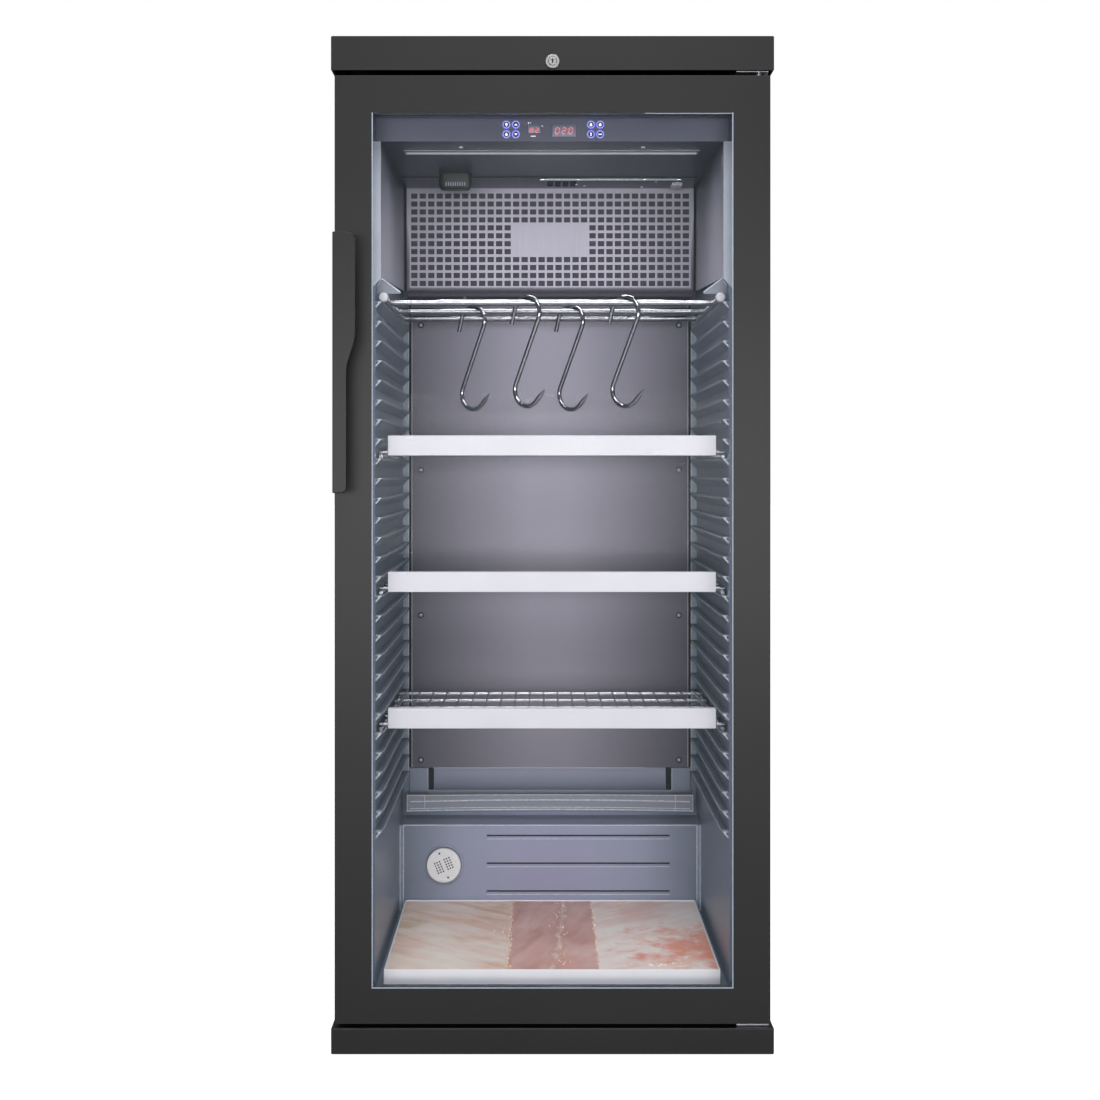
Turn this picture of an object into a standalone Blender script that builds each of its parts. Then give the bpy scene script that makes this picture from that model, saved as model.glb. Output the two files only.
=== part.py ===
"""An upright dry aging cabinet with a glass door, shelves, hanging rails and its cooling machine.

Metres, +Z up. X runs to the right and Y to the back, seen from the door. The origin is on the floor,
under the middle of the cabinet's box.
"""

import math

import bmesh
import bpy
from mathutils import Matrix, Vector

# Driving sizes of the whole cabinet
WIDTH = 0.600
HEIGHT = 1.3815
DEPTH = 0.600
HANDLE_REACH = 0.040
REAR_SPACE = 0.070
CABINET_DEPTH = DEPTH - REAR_SPACE
BODY_INSET = 0.004
BODY_WIDTH = WIDTH - 2 * BODY_INSET
FRONT = HANDLE_REACH - (DEPTH + HANDLE_REACH) / 2
REAR = FRONT + DEPTH

# Clearances and stock
GAP = 0.0003
OVERRUN = 0.002
WELD = 0.0005
SHEET = 0.0012
ROUND_SIDES = 16
WIRE_SIDES = 6

# Lid, plinth, door and body, from the top and bottom inwards
LID_HEIGHT = 0.0467
LID_BOTTOM = HEIGHT - LID_HEIGHT
DOOR_LID_GAP = 0.0068
DOOR_TOP = LID_BOTTOM - DOOR_LID_GAP
PLINTH_LIFT = 0.0025
PLINTH_TOP = 0.038
DOOR_PLINTH_GAP = 0.006
DOOR_BOTTOM = PLINTH_TOP + DOOR_PLINTH_GAP
DOOR_INSET = 0.005
DOOR_WIDTH = WIDTH - 2 * DOOR_INSET
DOOR_DEPTH = 0.045
STILE_WIDTH = 0.050
TOP_RAIL = 0.050
BOTTOM_RAIL = 0.0475
GASKET_DEPTH = 0.010
BODY_FRONT = FRONT + DOOR_DEPTH + GASKET_DEPTH
BODY_REAR = FRONT + CABINET_DEPTH
BODY_TOP = LID_BOTTOM - GAP
BODY_BOTTOM = PLINTH_TOP + GAP
BODY_LIP = 0.025

# Chamber, inside the liner
SIDE_INSULATION = 0.049
TOP_INSULATION = 0.0495
REAR_INSULATION = 0.065
CHAMBER_WIDTH = BODY_WIDTH - 2 * SIDE_INSULATION
CHAMBER_FLOOR = 0.069
CHAMBER_CEILING = BODY_TOP - TOP_INSULATION
CHAMBER_DEPTH = BODY_REAR - REAR_INSULATION - BODY_FRONT
CHAMBER_HALF = CHAMBER_WIDTH / 2
CHAMBER_BACK = BODY_FRONT + CHAMBER_DEPTH
HUMP_DEPTH = 0.065
HUMP_HEIGHT = 0.1436
HUMP_FACE = CHAMBER_BACK - HUMP_DEPTH
HUMP_TOP = CHAMBER_FLOOR + HUMP_HEIGHT
LINER_WALL = 0.003

# Machine bay, under the step
BAY_INSULATION = 0.037
BAY_FRONT = HUMP_FACE + LINER_WALL + BAY_INSULATION
BAY_TOP = HUMP_TOP - LINER_WALL - BAY_INSULATION

Y_AXIS = Vector((0, 1, 0))
Z_AXIS = Vector((0, 0, 1))


def linear(value):
    """One sRGB channel as linear light."""
    return value / 12.92 if value <= 0.04045 else ((value + 0.055) / 1.055) ** 2.4


def finish(name, colour, roughness, metallic=0.0, alpha=1.0):
    """A plain Principled material from an sRGB hex colour."""
    material = bpy.data.materials.new(name)
    material.use_nodes = True
    shader = material.node_tree.nodes["Principled BSDF"]
    channels = [linear(int(colour[i : i + 2], 16) / 255) for i in (1, 3, 5)]
    shader.inputs["Base Color"].default_value = (*channels, 1.0)
    shader.inputs["Roughness"].default_value = roughness
    shader.inputs["Metallic"].default_value = metallic
    shader.inputs["Alpha"].default_value = alpha
    material.diffuse_color = (*channels, alpha)
    return material


def add_box(bm, low, high):
    """A box between two opposite corners."""
    low, high = Vector(low), Vector(high)
    size = high - low
    place = Matrix.Translation((low + high) / 2) @ Matrix.Diagonal((*size, 1))
    bmesh.ops.create_cube(bm, size=1, matrix=place)


def add_prism(bm, outline, axis, start, end):
    """An outline extruded along X, Y or Z. Its points are the other two coordinates, in order."""
    index = "XYZ".index(axis)
    corners = []
    for a, b in outline:
        point = [a, b]
        point.insert(index, start)
        corners.append(bm.verts.new(point))
    face = bm.faces.new(corners)
    moved = bmesh.ops.extrude_face_region(bm, geom=[face])["geom"]
    shift = [0, 0, 0]
    shift[index] = end - start
    bmesh.ops.translate(bm, vec=shift, verts=[v for v in moved if isinstance(v, bmesh.types.BMVert)])


def add_bar(bm, start, end, radius, sides=ROUND_SIDES):
    """A round bar between two points."""
    start, end = Vector(start), Vector(end)
    run = end - start
    place = Matrix.Translation((start + end) / 2) @ run.to_track_quat("Z", "Y").to_matrix().to_4x4()
    bmesh.ops.create_cone(
        bm,
        cap_ends=True,
        segments=sides,
        radius1=radius,
        radius2=radius,
        depth=run.length,
        matrix=place,
    )


def add_frame(bm, section, low, high):
    """A rectangular ring in the XZ plane with mitred corners.

    low and high are the ring's reference corners (x, z). Each section point is how far it lies
    outside that rectangle, and its Y.
    """
    corners = ((low[0], low[1]), (high[0], low[1]), (high[0], high[1]), (low[0], high[1]))
    middle = Vector(((low[0] + high[0]) / 2, (low[1] + high[1]) / 2))
    rings = []
    for x, z in corners:
        side_x, side_z = math.copysign(1, x - middle.x), math.copysign(1, z - middle.y)
        rings.append([bm.verts.new((x + side_x * out, y, z + side_z * out)) for out, y in section])
    for ring, following in zip(rings, rings[1:] + rings[:1]):
        for i in range(len(section)):
            j = (i + 1) % len(section)
            bm.faces.new((ring[i], ring[j], following[j], following[i]))


def add_turned(bm, profile, centre, axis, steps=ROUND_SIDES):
    """A profile of (radius, height) points turned round an axis through centre."""
    place = Matrix.Translation(centre) @ axis.to_track_quat("Z", "Y").to_matrix().to_4x4()
    rings = []
    for radius, height in profile:
        ring = []
        for i in range(steps if radius > 0 else 1):
            angle = 2 * math.pi * i / steps
            point = Vector((radius * math.cos(angle), radius * math.sin(angle), height))
            ring.append(bm.verts.new(place @ point))
        rings.append(ring)
    for ring, following in zip(rings, rings[1:]):
        for i in range(steps):
            j = (i + 1) % steps
            near = (ring[i % len(ring)], ring[j % len(ring)])
            far = (following[j % len(following)], following[i % len(following)])
            bm.faces.new(list(dict.fromkeys(near + far)))
    for ring in (rings[0], rings[-1]):
        if len(ring) > 1:
            bm.faces.new(ring)


def solid(name, bm):
    """The object of a finished mesh, its faces turned outwards."""
    bmesh.ops.recalc_face_normals(bm, faces=bm.faces)
    mesh = bpy.data.meshes.new(name)
    bm.to_mesh(mesh)
    bm.free()
    obj = bpy.data.objects.new(name, mesh)
    bpy.context.scene.collection.objects.link(obj)
    return obj


def dress(obj, material, parent):
    obj.data.materials.append(material)
    if obj.type == "MESH":
        obj.data.shade_smooth()
        obj.data.set_sharp_from_angle(angle=math.radians(35))
    if parent:
        obj.parent = parent
        obj.matrix_parent_inverse = parent.matrix_world.inverted()


def piece(name, bm, material, parent=None):
    """One sub-part of the cabinet."""
    obj = solid(name, bm)
    dress(obj, material, parent)
    return obj


def shaped(obj, operation, bm):
    """Joins a helper solid to an object, or cuts it out of it."""
    helper = solid(f"{obj.name}.{operation.lower()}.{len(obj.modifiers)}", bm)
    helper.hide_render = True
    helper.display_type = "WIRE"
    change = obj.modifiers.new(helper.name, "BOOLEAN")
    change.operation = operation
    change.solver = "EXACT"
    change.object = helper


def joint_origin(name, place, parent=None):
    """An empty on a joint's axis, which carries the pieces that move about it."""
    empty = bpy.data.objects.new(name, None)
    bpy.context.scene.collection.objects.link(empty)
    empty.location = place
    empty.empty_display_size = HANDLE_REACH
    bpy.context.view_layer.update()
    return empty


for leftover in list(bpy.data.objects):
    bpy.data.objects.remove(leftover, do_unlink=True)

DARK_PAINT = finish("dark_paint", "#434343", 0.45)
DARK_PLASTIC = finish("dark_plastic", "#2d2d2d", 0.5)
LINER_PLASTIC = finish("liner_plastic", "#6a6f7e", 0.4)
FOAM = finish("foam", "#d9cfa8", 0.9)
STAINLESS = finish("stainless", "#9c9ba6", 0.3, 1.0)
CHROME = finish("chrome", "#dadde2", 0.12, 1.0)
WHITE_PLASTIC = finish("white_plastic", "#e1e0e6", 0.35)
CLEAR_PLASTIC = finish("clear_plastic", "#c9ced6", 0.1, 0.0, 0.4)
GLASS = finish("glass", "#e6edf0", 0.03, 0.0, 0.2)
RUBBER = finish("rubber", "#1c1c1e", 0.7)
SALT = finish("salt", "#c9a9a4", 0.5)
BLACK_METAL = finish("black_metal", "#1a1a1b", 0.4, 0.3)
GALVANISED = finish("galvanised", "#a3a7a9", 0.4, 1.0)
CIRCUIT = finish("circuit", "#22402d", 0.5)
LIGHT_COVER = finish("light_cover", "#f4f6ff", 0.4)


def chamber_outline(out, front):
    """The chamber's side outline as (y, z), grown outwards, from front to back."""
    floor, ceiling = CHAMBER_FLOOR - out, CHAMBER_CEILING + out
    return (
        (front, floor),
        (HUMP_FACE + out, floor),
        (HUMP_FACE + out, HUMP_TOP - out),
        (CHAMBER_BACK + out, HUMP_TOP - out),
        (CHAMBER_BACK + out, ceiling),
        (front, ceiling),
    )


# Outer shell: one painted sheet folded round the sides, top and floor, with a lip at the front
SHELL_HALF = BODY_WIDTH / 2
SHELL_INNER = SHELL_HALF - SHEET
FLOOR_TOP = BODY_BOTTOM + SHEET
bm = bmesh.new()
shell_section = (
    (0, BODY_FRONT),
    (0, BODY_REAR),
    (-SHEET, BODY_REAR),
    (-SHEET, BODY_FRONT + SHEET),
    (-BODY_LIP, BODY_FRONT + SHEET),
    (-BODY_LIP, BODY_FRONT),
)
add_frame(bm, shell_section, (-SHELL_HALF, BODY_BOTTOM), (SHELL_HALF, BODY_TOP))
outer_shell = piece("outer_shell", bm, DARK_PAINT)
bm = bmesh.new()
add_box(
    bm,
    (-SHELL_INNER, BAY_FRONT + SHEET, BODY_BOTTOM - OVERRUN),
    (SHELL_INNER, BODY_REAR + OVERRUN, FLOOR_TOP + OVERRUN),
)
shaped(outer_shell, "DIFFERENCE", bm)

# Machine bay panel: the galvanised step behind the foam, over the compressor
bm = bmesh.new()
bay_outline = (
    (BAY_FRONT, FLOOR_TOP + GAP),
    (BAY_FRONT + SHEET, FLOOR_TOP + GAP),
    (BAY_FRONT + SHEET, BAY_TOP - SHEET),
    (BODY_REAR, BAY_TOP - SHEET),
    (BODY_REAR, BAY_TOP),
    (BAY_FRONT, BAY_TOP),
)
add_prism(bm, bay_outline, "X", -SHELL_INNER + GAP, SHELL_INNER - GAP)
piece("machine_bay_panel", bm, GALVANISED)

# Rear panel: a flat sheet on the shell's rear edges
bm = bmesh.new()
rear_front = BODY_REAR + GAP
add_box(bm, (-SHELL_HALF, rear_front, BAY_TOP - SHEET), (SHELL_HALF, rear_front + SHEET, BODY_TOP))
piece("rear_panel", bm, GALVANISED)

# Insulation foam: fills the space between the liner and the shell
FOAM_HALF = SHELL_INNER - GAP
bm = bmesh.new()
foam_front = BODY_FRONT + LINER_WALL + GAP
foam_outline = (
    (foam_front, FLOOR_TOP + GAP),
    (BAY_FRONT - GAP, FLOOR_TOP + GAP),
    (BAY_FRONT - GAP, BAY_TOP + GAP),
    (BODY_REAR, BAY_TOP + GAP),
    (BODY_REAR, BODY_TOP - SHEET - GAP),
    (foam_front, BODY_TOP - SHEET - GAP),
)
add_prism(bm, foam_outline, "X", -FOAM_HALF, FOAM_HALF)
insulation = piece("insulation_foam", bm, FOAM)
bm = bmesh.new()
liner_room = CHAMBER_HALF + LINER_WALL + GAP
add_prism(bm, chamber_outline(LINER_WALL + GAP, BODY_FRONT), "X", -liner_room, liner_room)
shaped(insulation, "DIFFERENCE", bm)

# Inner liner: one formed plastic tub with the shelf ribs in its side walls
LINER_HALF = CHAMBER_HALF + LINER_WALL
FLANGE_HALF = SHELL_HALF - BODY_LIP - GAP
FLANGE_BOTTOM = BODY_BOTTOM + BODY_LIP + GAP
FLANGE_TOP = BODY_TOP - BODY_LIP - GAP
RIB_PITCH = 0.0275
RIB_FIRST_LIFT = 0.0744
RIB_FIRST_TOP = HUMP_TOP + RIB_FIRST_LIFT
HANGING_HEIGHT = 0.2555
RIB_COUNT = round((CHAMBER_CEILING - HANGING_HEIGHT - RIB_FIRST_TOP) / RIB_PITCH) + 1
RIB_REACH = 0.010
RIB_TIP = 0.003
RIB_NOSE_REACH = 0.001
RIB_NOSE_SETBACK = 0.004
RIB_NOSE_START = BODY_FRONT + RIB_NOSE_SETBACK
RIB_NOSE_LENGTH = 0.021
GROOVE_MARGIN = 0.051
GROOVE_HEIGHT = 0.0065
GROOVE_DEPTH = 0.0015
GROOVE_PITCH = 0.0455
GROOVE_FIRST_DROP = 0.0196
FILTER_INSET = 0.073
FILTER_X = -CHAMBER_HALF + FILTER_INSET
FILTER_NECK = 0.015
FILTER_TO_GROOVES = 0.070
GROOVE_LEFT = FILTER_X + FILTER_TO_GROOVES
GROOVE_RIGHT = CHAMBER_HALF - GROOVE_MARGIN


def rib_top(number):
    return RIB_FIRST_TOP + number * RIB_PITCH


def rib_ring(bm, side, top, y, reach):
    """The rib's section at one depth: flat on top, and sloping back to the wall below."""
    root = side * (CHAMBER_HALF + WELD)
    tip = side * (CHAMBER_HALF - reach)
    under = top - RIB_TIP
    points = ((root, top), (tip, top), (tip, under), (root, under - reach - WELD))
    return [bm.verts.new((x, y, z)) for x, z in points]


bm = bmesh.new()
add_prism(bm, chamber_outline(LINER_WALL, BODY_FRONT), "X", -LINER_HALF, LINER_HALF)
inner_liner = piece("inner_liner", bm, LINER_PLASTIC)
bm = bmesh.new()
add_box(bm, (-FLANGE_HALF, BODY_FRONT, FLANGE_BOTTOM), (FLANGE_HALF, BODY_FRONT + LINER_WALL, FLANGE_TOP))
shaped(inner_liner, "UNION", bm)
bm = bmesh.new()
add_prism(bm, chamber_outline(0, BODY_FRONT - OVERRUN), "X", -CHAMBER_HALF, CHAMBER_HALF)
shaped(inner_liner, "DIFFERENCE", bm)
bm = bmesh.new()
for rib in range(RIB_COUNT):
    for side in (-1, 1):
        nose_end = RIB_NOSE_START + RIB_NOSE_LENGTH
        rib_end = CHAMBER_BACK + WELD
        stations = ((RIB_NOSE_START, RIB_NOSE_REACH), (nose_end, RIB_REACH), (rib_end, RIB_REACH))
        rings = [rib_ring(bm, side, rib_top(rib), y, reach) for y, reach in stations]
        for ring, following in zip(rings, rings[1:]):
            for i in range(len(ring)):
                j = (i + 1) % len(ring)
                bm.faces.new((ring[i], ring[j], following[j], following[i]))
        bm.faces.new(rings[0])
        bm.faces.new(rings[-1])
shaped(inner_liner, "UNION", bm)
bm = bmesh.new()
for row in range(3):
    middle = HUMP_TOP - GROOVE_FIRST_DROP - row * GROOVE_PITCH
    add_box(
        bm,
        (GROOVE_LEFT, HUMP_FACE - OVERRUN, middle - GROOVE_HEIGHT / 2),
        (GROOVE_RIGHT, HUMP_FACE + GROOVE_DEPTH, middle + GROOVE_HEIGHT / 2),
    )
FILTER_Z = HUMP_TOP - GROOVE_FIRST_DROP - GROOVE_PITCH
filter_hole = (FILTER_X, HUMP_FACE - OVERRUN, FILTER_Z)
add_bar(bm, filter_hole, (FILTER_X, HUMP_FACE + LINER_WALL + OVERRUN, FILTER_Z), FILTER_NECK + GAP)
shaped(inner_liner, "DIFFERENCE", bm)

# Filter disc: a round vented plug in the step's face
FILTER_RADIUS = 0.02775
FILTER_PROUD = 0.006
FILTER_EDGE = 0.002
FILTER_SLOT_HALF = 0.004
FILTER_SLOT_HEIGHT = 0.002
FILTER_SLOT_DEPTH = 0.0015
bm = bmesh.new()
filter_profile = (
    (0, -LINER_WALL + WELD),
    (FILTER_NECK, -LINER_WALL + WELD),
    (FILTER_NECK, GAP),
    (FILTER_RADIUS, GAP),
    (FILTER_RADIUS, FILTER_PROUD - FILTER_EDGE),
    (FILTER_RADIUS - FILTER_EDGE, FILTER_PROUD),
    (0, FILTER_PROUD),
)
add_turned(bm, filter_profile, (FILTER_X, HUMP_FACE, FILTER_Z), -Y_AXIS, 2 * ROUND_SIDES)
filter_disc = piece("filter_disc", bm, WHITE_PLASTIC)
bm = bmesh.new()
for side in (-1, 1):
    slot_z = FILTER_Z + side * FILTER_NECK / 2
    slot_front = HUMP_FACE - FILTER_PROUD
    add_box(
        bm,
        (FILTER_X - FILTER_SLOT_HALF, slot_front - OVERRUN, slot_z - FILTER_SLOT_HEIGHT / 2),
        (FILTER_X + FILTER_SLOT_HALF, slot_front + FILTER_SLOT_DEPTH, slot_z + FILTER_SLOT_HEIGHT / 2),
    )
shaped(filter_disc, "DIFFERENCE", bm)

# Top lid: a hollow moulding with two ribs that stand on the shell
LID_WALL = 0.003
LID_OVERHANG = 0.005
LID_EDGE = 0.0015
LID_RIB_INSET = 0.066
LID_RIB_SETBACK = 0.115
LID_RIB_X = SHELL_HALF - LID_RIB_INSET
LID_REAR = BODY_REAR + LID_OVERHANG
LID_INNER = WIDTH / 2 - LID_WALL
LOCK_LIFT = 0.0117
LOCK_Z = LID_BOTTOM + LOCK_LIFT
LOCK_BODY_RADIUS = 0.008
bm = bmesh.new()
add_box(bm, (-WIDTH / 2, FRONT, LID_BOTTOM), (WIDTH / 2, LID_REAR, HEIGHT))
top_edges = [e for e in bm.edges if all(v.co.z > HEIGHT - LID_EDGE for v in e.verts)]
bmesh.ops.bevel(bm, geom=top_edges, offset=LID_EDGE, segments=2, affect="EDGES", profile=0.5)
top_lid = piece("top_lid", bm, DARK_PAINT)
bm = bmesh.new()
add_box(
    bm,
    (-LID_INNER, FRONT + LID_WALL, LID_BOTTOM - OVERRUN),
    (LID_INNER, LID_REAR - LID_WALL, HEIGHT - LID_WALL),
)
shaped(top_lid, "DIFFERENCE", bm)
bm = bmesh.new()
lock_front = (0, FRONT - OVERRUN, LOCK_Z)
add_bar(bm, lock_front, (0, FRONT + LID_WALL + OVERRUN, LOCK_Z), LOCK_BODY_RADIUS + GAP)
shaped(top_lid, "DIFFERENCE", bm)
bm = bmesh.new()
for side in (-1, 1):
    add_box(
        bm,
        (side * LID_RIB_X - LID_WALL / 2, BODY_FRONT + LID_RIB_SETBACK, LID_BOTTOM),
        (side * LID_RIB_X + LID_WALL / 2, LID_REAR - LID_WALL + WELD, HEIGHT - LID_WALL + WELD),
    )
shaped(top_lid, "UNION", bm)

# Plinth: a moulded tray, open below, that carries the shell and the door's lower hinge
PLINTH_WALL = 0.003
PLINTH_REAR = HUMP_FACE
bm = bmesh.new()
add_box(bm, (-WIDTH / 2, FRONT, PLINTH_LIFT), (WIDTH / 2, PLINTH_REAR, PLINTH_TOP))
plinth = piece("plinth", bm, DARK_PLASTIC)
bm = bmesh.new()
add_box(
    bm,
    (-WIDTH / 2 + PLINTH_WALL, FRONT + PLINTH_WALL, PLINTH_LIFT - OVERRUN),
    (WIDTH / 2 - PLINTH_WALL, PLINTH_REAR - PLINTH_WALL, PLINTH_TOP - PLINTH_WALL),
)
shaped(plinth, "DIFFERENCE", bm)

# Compressor plate: a folded steel base under the machine bay
PLATE_SHEET = 0.0025
PLATE_FLANGE = 0.022
PLATE_FRONT = PLINTH_REAR + GAP
PLATE_REAR_SPACE = 0.010
PLATE_REAR = REAR - PLATE_REAR_SPACE
PLATE_HALF = SHELL_HALF
bm = bmesh.new()
plate_outline = (
    (-PLATE_HALF, PLINTH_TOP - PLATE_FLANGE),
    (-PLATE_HALF + PLATE_SHEET, PLINTH_TOP - PLATE_FLANGE),
    (-PLATE_HALF + PLATE_SHEET, PLINTH_TOP - PLATE_SHEET),
    (PLATE_HALF - PLATE_SHEET, PLINTH_TOP - PLATE_SHEET),
    (PLATE_HALF - PLATE_SHEET, PLINTH_TOP - PLATE_FLANGE),
    (PLATE_HALF, PLINTH_TOP - PLATE_FLANGE),
    (PLATE_HALF, PLINTH_TOP),
    (-PLATE_HALF, PLINTH_TOP),
)
add_prism(bm, plate_outline, "Y", PLATE_FRONT, PLATE_REAR)
piece("compressor_plate", bm, GALVANISED)

# Levelling feet: a disc on a threaded stud, under the plinth and under the compressor plate
FOOT_RADIUS = 0.019
FOOT_THICK = 0.010
STUD_RADIUS = 0.005
FOOT_INSET = 0.050
FOOT_FRONT_SETBACK = 0.075
FOOT_REAR_SETBACK = 0.045
FOOT_X = WIDTH / 2 - FOOT_INSET
FOOT_FRONT_Y = FRONT + FOOT_FRONT_SETBACK
FOOT_REAR_Y = REAR - FOOT_REAR_SETBACK
for place, y, wall in (("front", FOOT_FRONT_Y, PLINTH_WALL), ("rear", FOOT_REAR_Y, PLATE_SHEET)):
    for hand, side in (("left", -1), ("right", 1)):
        bm = bmesh.new()
        stud_top = PLINTH_TOP - wall - GAP
        foot_profile = (
            (0, 0),
            (FOOT_RADIUS, 0),
            (FOOT_RADIUS, FOOT_THICK),
            (STUD_RADIUS, FOOT_THICK),
            (STUD_RADIUS, stud_top),
            (0, stud_top),
        )
        add_turned(bm, foot_profile, (side * FOOT_X, y, 0), Z_AXIS)
        piece(f"foot_{place}_{hand}", bm, RUBBER)

# Door origin: an upright axis near the door's right edge
HINGE_INSET = 0.013
HINGE_SETBACK = 0.0205
PIN_RADIUS = 0.00425
DOOR_HALF = DOOR_WIDTH / 2
HINGE_X = DOOR_HALF - HINGE_INSET
HINGE_Y = FRONT + HINGE_SETBACK
OPENING_HALF = DOOR_HALF - STILE_WIDTH
OPENING_BOTTOM = DOOR_BOTTOM + BOTTOM_RAIL
OPENING_TOP = DOOR_TOP - TOP_RAIL
door_axis = joint_origin("door_axis", (HINGE_X, HINGE_Y, DOOR_BOTTOM))

# Hinge plates: flat steel ears with a pin, on the shell's top and on the plinth
HINGE_PLATE = 0.0025
HINGE_PLATE_WIDTH = 0.044
HINGE_PLATE_EDGE = 0.012
HINGE_PLATE_SETBACK = 0.008
HINGE_PLATE_TAIL = 0.045
HINGE_RIGHT = HINGE_X + HINGE_PLATE_EDGE
HINGE_LEFT = HINGE_RIGHT - HINGE_PLATE_WIDTH
HINGE_FRONT = FRONT + HINGE_PLATE_SETBACK
HINGE_TOP_REAR = BODY_FRONT + HINGE_PLATE_TAIL
PIN_REACH = 0.022
bm = bmesh.new()
add_box(
    bm, (HINGE_LEFT, HINGE_FRONT, LID_BOTTOM), (HINGE_RIGHT, HINGE_TOP_REAR, LID_BOTTOM + HINGE_PLATE)
)
top_hinge = piece("top_hinge_plate", bm, STAINLESS)
bm = bmesh.new()
pin_root = LID_BOTTOM + HINGE_PLATE / 2
add_bar(bm, (HINGE_X, HINGE_Y, pin_root), (HINGE_X, HINGE_Y, LID_BOTTOM - PIN_REACH), PIN_RADIUS)
shaped(top_hinge, "UNION", bm)
bm = bmesh.new()
LOWER_PLATE_TOP = BODY_BOTTOM + HINGE_PLATE
add_box(bm, (HINGE_LEFT, HINGE_FRONT, BODY_BOTTOM), (HINGE_RIGHT, BODY_FRONT - GAP, LOWER_PLATE_TOP))
bottom_hinge = piece("bottom_hinge_plate", bm, STAINLESS)
bm = bmesh.new()
pin_root = LOWER_PLATE_TOP - HINGE_PLATE / 2
add_bar(bm, (HINGE_X, HINGE_Y, pin_root), (HINGE_X, HINGE_Y, LOWER_PLATE_TOP + PIN_REACH), PIN_RADIUS)
shaped(bottom_hinge, "UNION", bm)

# Door frame: a painted tray with a window, its sides turned back
DOOR_SKIN = 0.002
BUSH_RADIUS = 0.0055
SLOT_LEFT = -0.0215
SLOT_RIGHT = 0.0075
SLOT_SETBACK = 0.016
SLOT_WIDTH = 0.010
SLOT_FRONT = FRONT + SLOT_SETBACK
SLOT_REAR = SLOT_FRONT + SLOT_WIDTH
bm = bmesh.new()
add_box(bm, (-DOOR_HALF, FRONT, DOOR_BOTTOM), (DOOR_HALF, FRONT + DOOR_DEPTH, DOOR_TOP))
door_frame = piece("door_frame", bm, DARK_PAINT, door_axis)
bm = bmesh.new()
add_box(
    bm,
    (-DOOR_HALF + DOOR_SKIN, FRONT + DOOR_SKIN, DOOR_BOTTOM + DOOR_SKIN),
    (DOOR_HALF - DOOR_SKIN, FRONT + DOOR_DEPTH + OVERRUN, DOOR_TOP - DOOR_SKIN),
)
shaped(door_frame, "DIFFERENCE", bm)
bm = bmesh.new()
skin_end = FRONT + DOOR_SKIN + OVERRUN
add_box(bm, (-OPENING_HALF, FRONT - OVERRUN, OPENING_BOTTOM), (OPENING_HALF, skin_end, OPENING_TOP))
for end in (DOOR_BOTTOM, DOOR_TOP - DOOR_SKIN):
    hole_top = end + DOOR_SKIN + OVERRUN
    add_bar(bm, (HINGE_X, HINGE_Y, end - OVERRUN), (HINGE_X, HINGE_Y, hole_top), BUSH_RADIUS + GAP)
slot_low = DOOR_TOP - DOOR_SKIN - OVERRUN
add_box(bm, (SLOT_LEFT, SLOT_FRONT, slot_low), (SLOT_RIGHT, SLOT_REAR, DOOR_TOP + OVERRUN))
shaped(door_frame, "DIFFERENCE", bm)

# Double glazing: two panes held behind the frame's lip, a spacer between them
PANE_LAP = 0.010
PANE = 0.004
PANE_SPACE = 0.016
SPACER_INSET = 0.002
outer_pane_front = FRONT + DOOR_SKIN + GAP
spacer_front = outer_pane_front + PANE + GAP
inner_pane_front = spacer_front + PANE_SPACE + GAP
for name, front in (("door_glass_outer", outer_pane_front), ("door_glass_inner", inner_pane_front)):
    bm = bmesh.new()
    add_box(
        bm,
        (-OPENING_HALF - PANE_LAP, front, OPENING_BOTTOM - PANE_LAP),
        (OPENING_HALF + PANE_LAP, front + PANE, OPENING_TOP + PANE_LAP),
    )
    piece(name, bm, GLASS, door_axis)
bm = bmesh.new()
spacer_section = (
    (SPACER_INSET, spacer_front),
    (PANE_LAP, spacer_front),
    (PANE_LAP, spacer_front + PANE_SPACE),
    (SPACER_INSET, spacer_front + PANE_SPACE),
)
add_frame(bm, spacer_section, (-OPENING_HALF, OPENING_BOTTOM), (OPENING_HALF, OPENING_TOP))
piece("glass_spacer", bm, BLACK_METAL, door_axis)

# Door inner frame: a black moulding that presses the glazing forwards and closes the door's back
inner_frame_front = inner_pane_front + PANE + GAP
bm = bmesh.new()
skin = DOOR_SKIN + GAP
add_box(
    bm,
    (-DOOR_HALF + skin, inner_frame_front, DOOR_BOTTOM + skin),
    (DOOR_HALF - skin, FRONT + DOOR_DEPTH, DOOR_TOP - skin),
)
door_inner = piece("door_inner_frame", bm, DARK_PLASTIC, door_axis)
bm = bmesh.new()
add_box(
    bm,
    (-OPENING_HALF, inner_frame_front - OVERRUN, OPENING_BOTTOM),
    (OPENING_HALF, FRONT + DOOR_DEPTH + OVERRUN, OPENING_TOP),
)
shaped(door_inner, "DIFFERENCE", bm)

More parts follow.
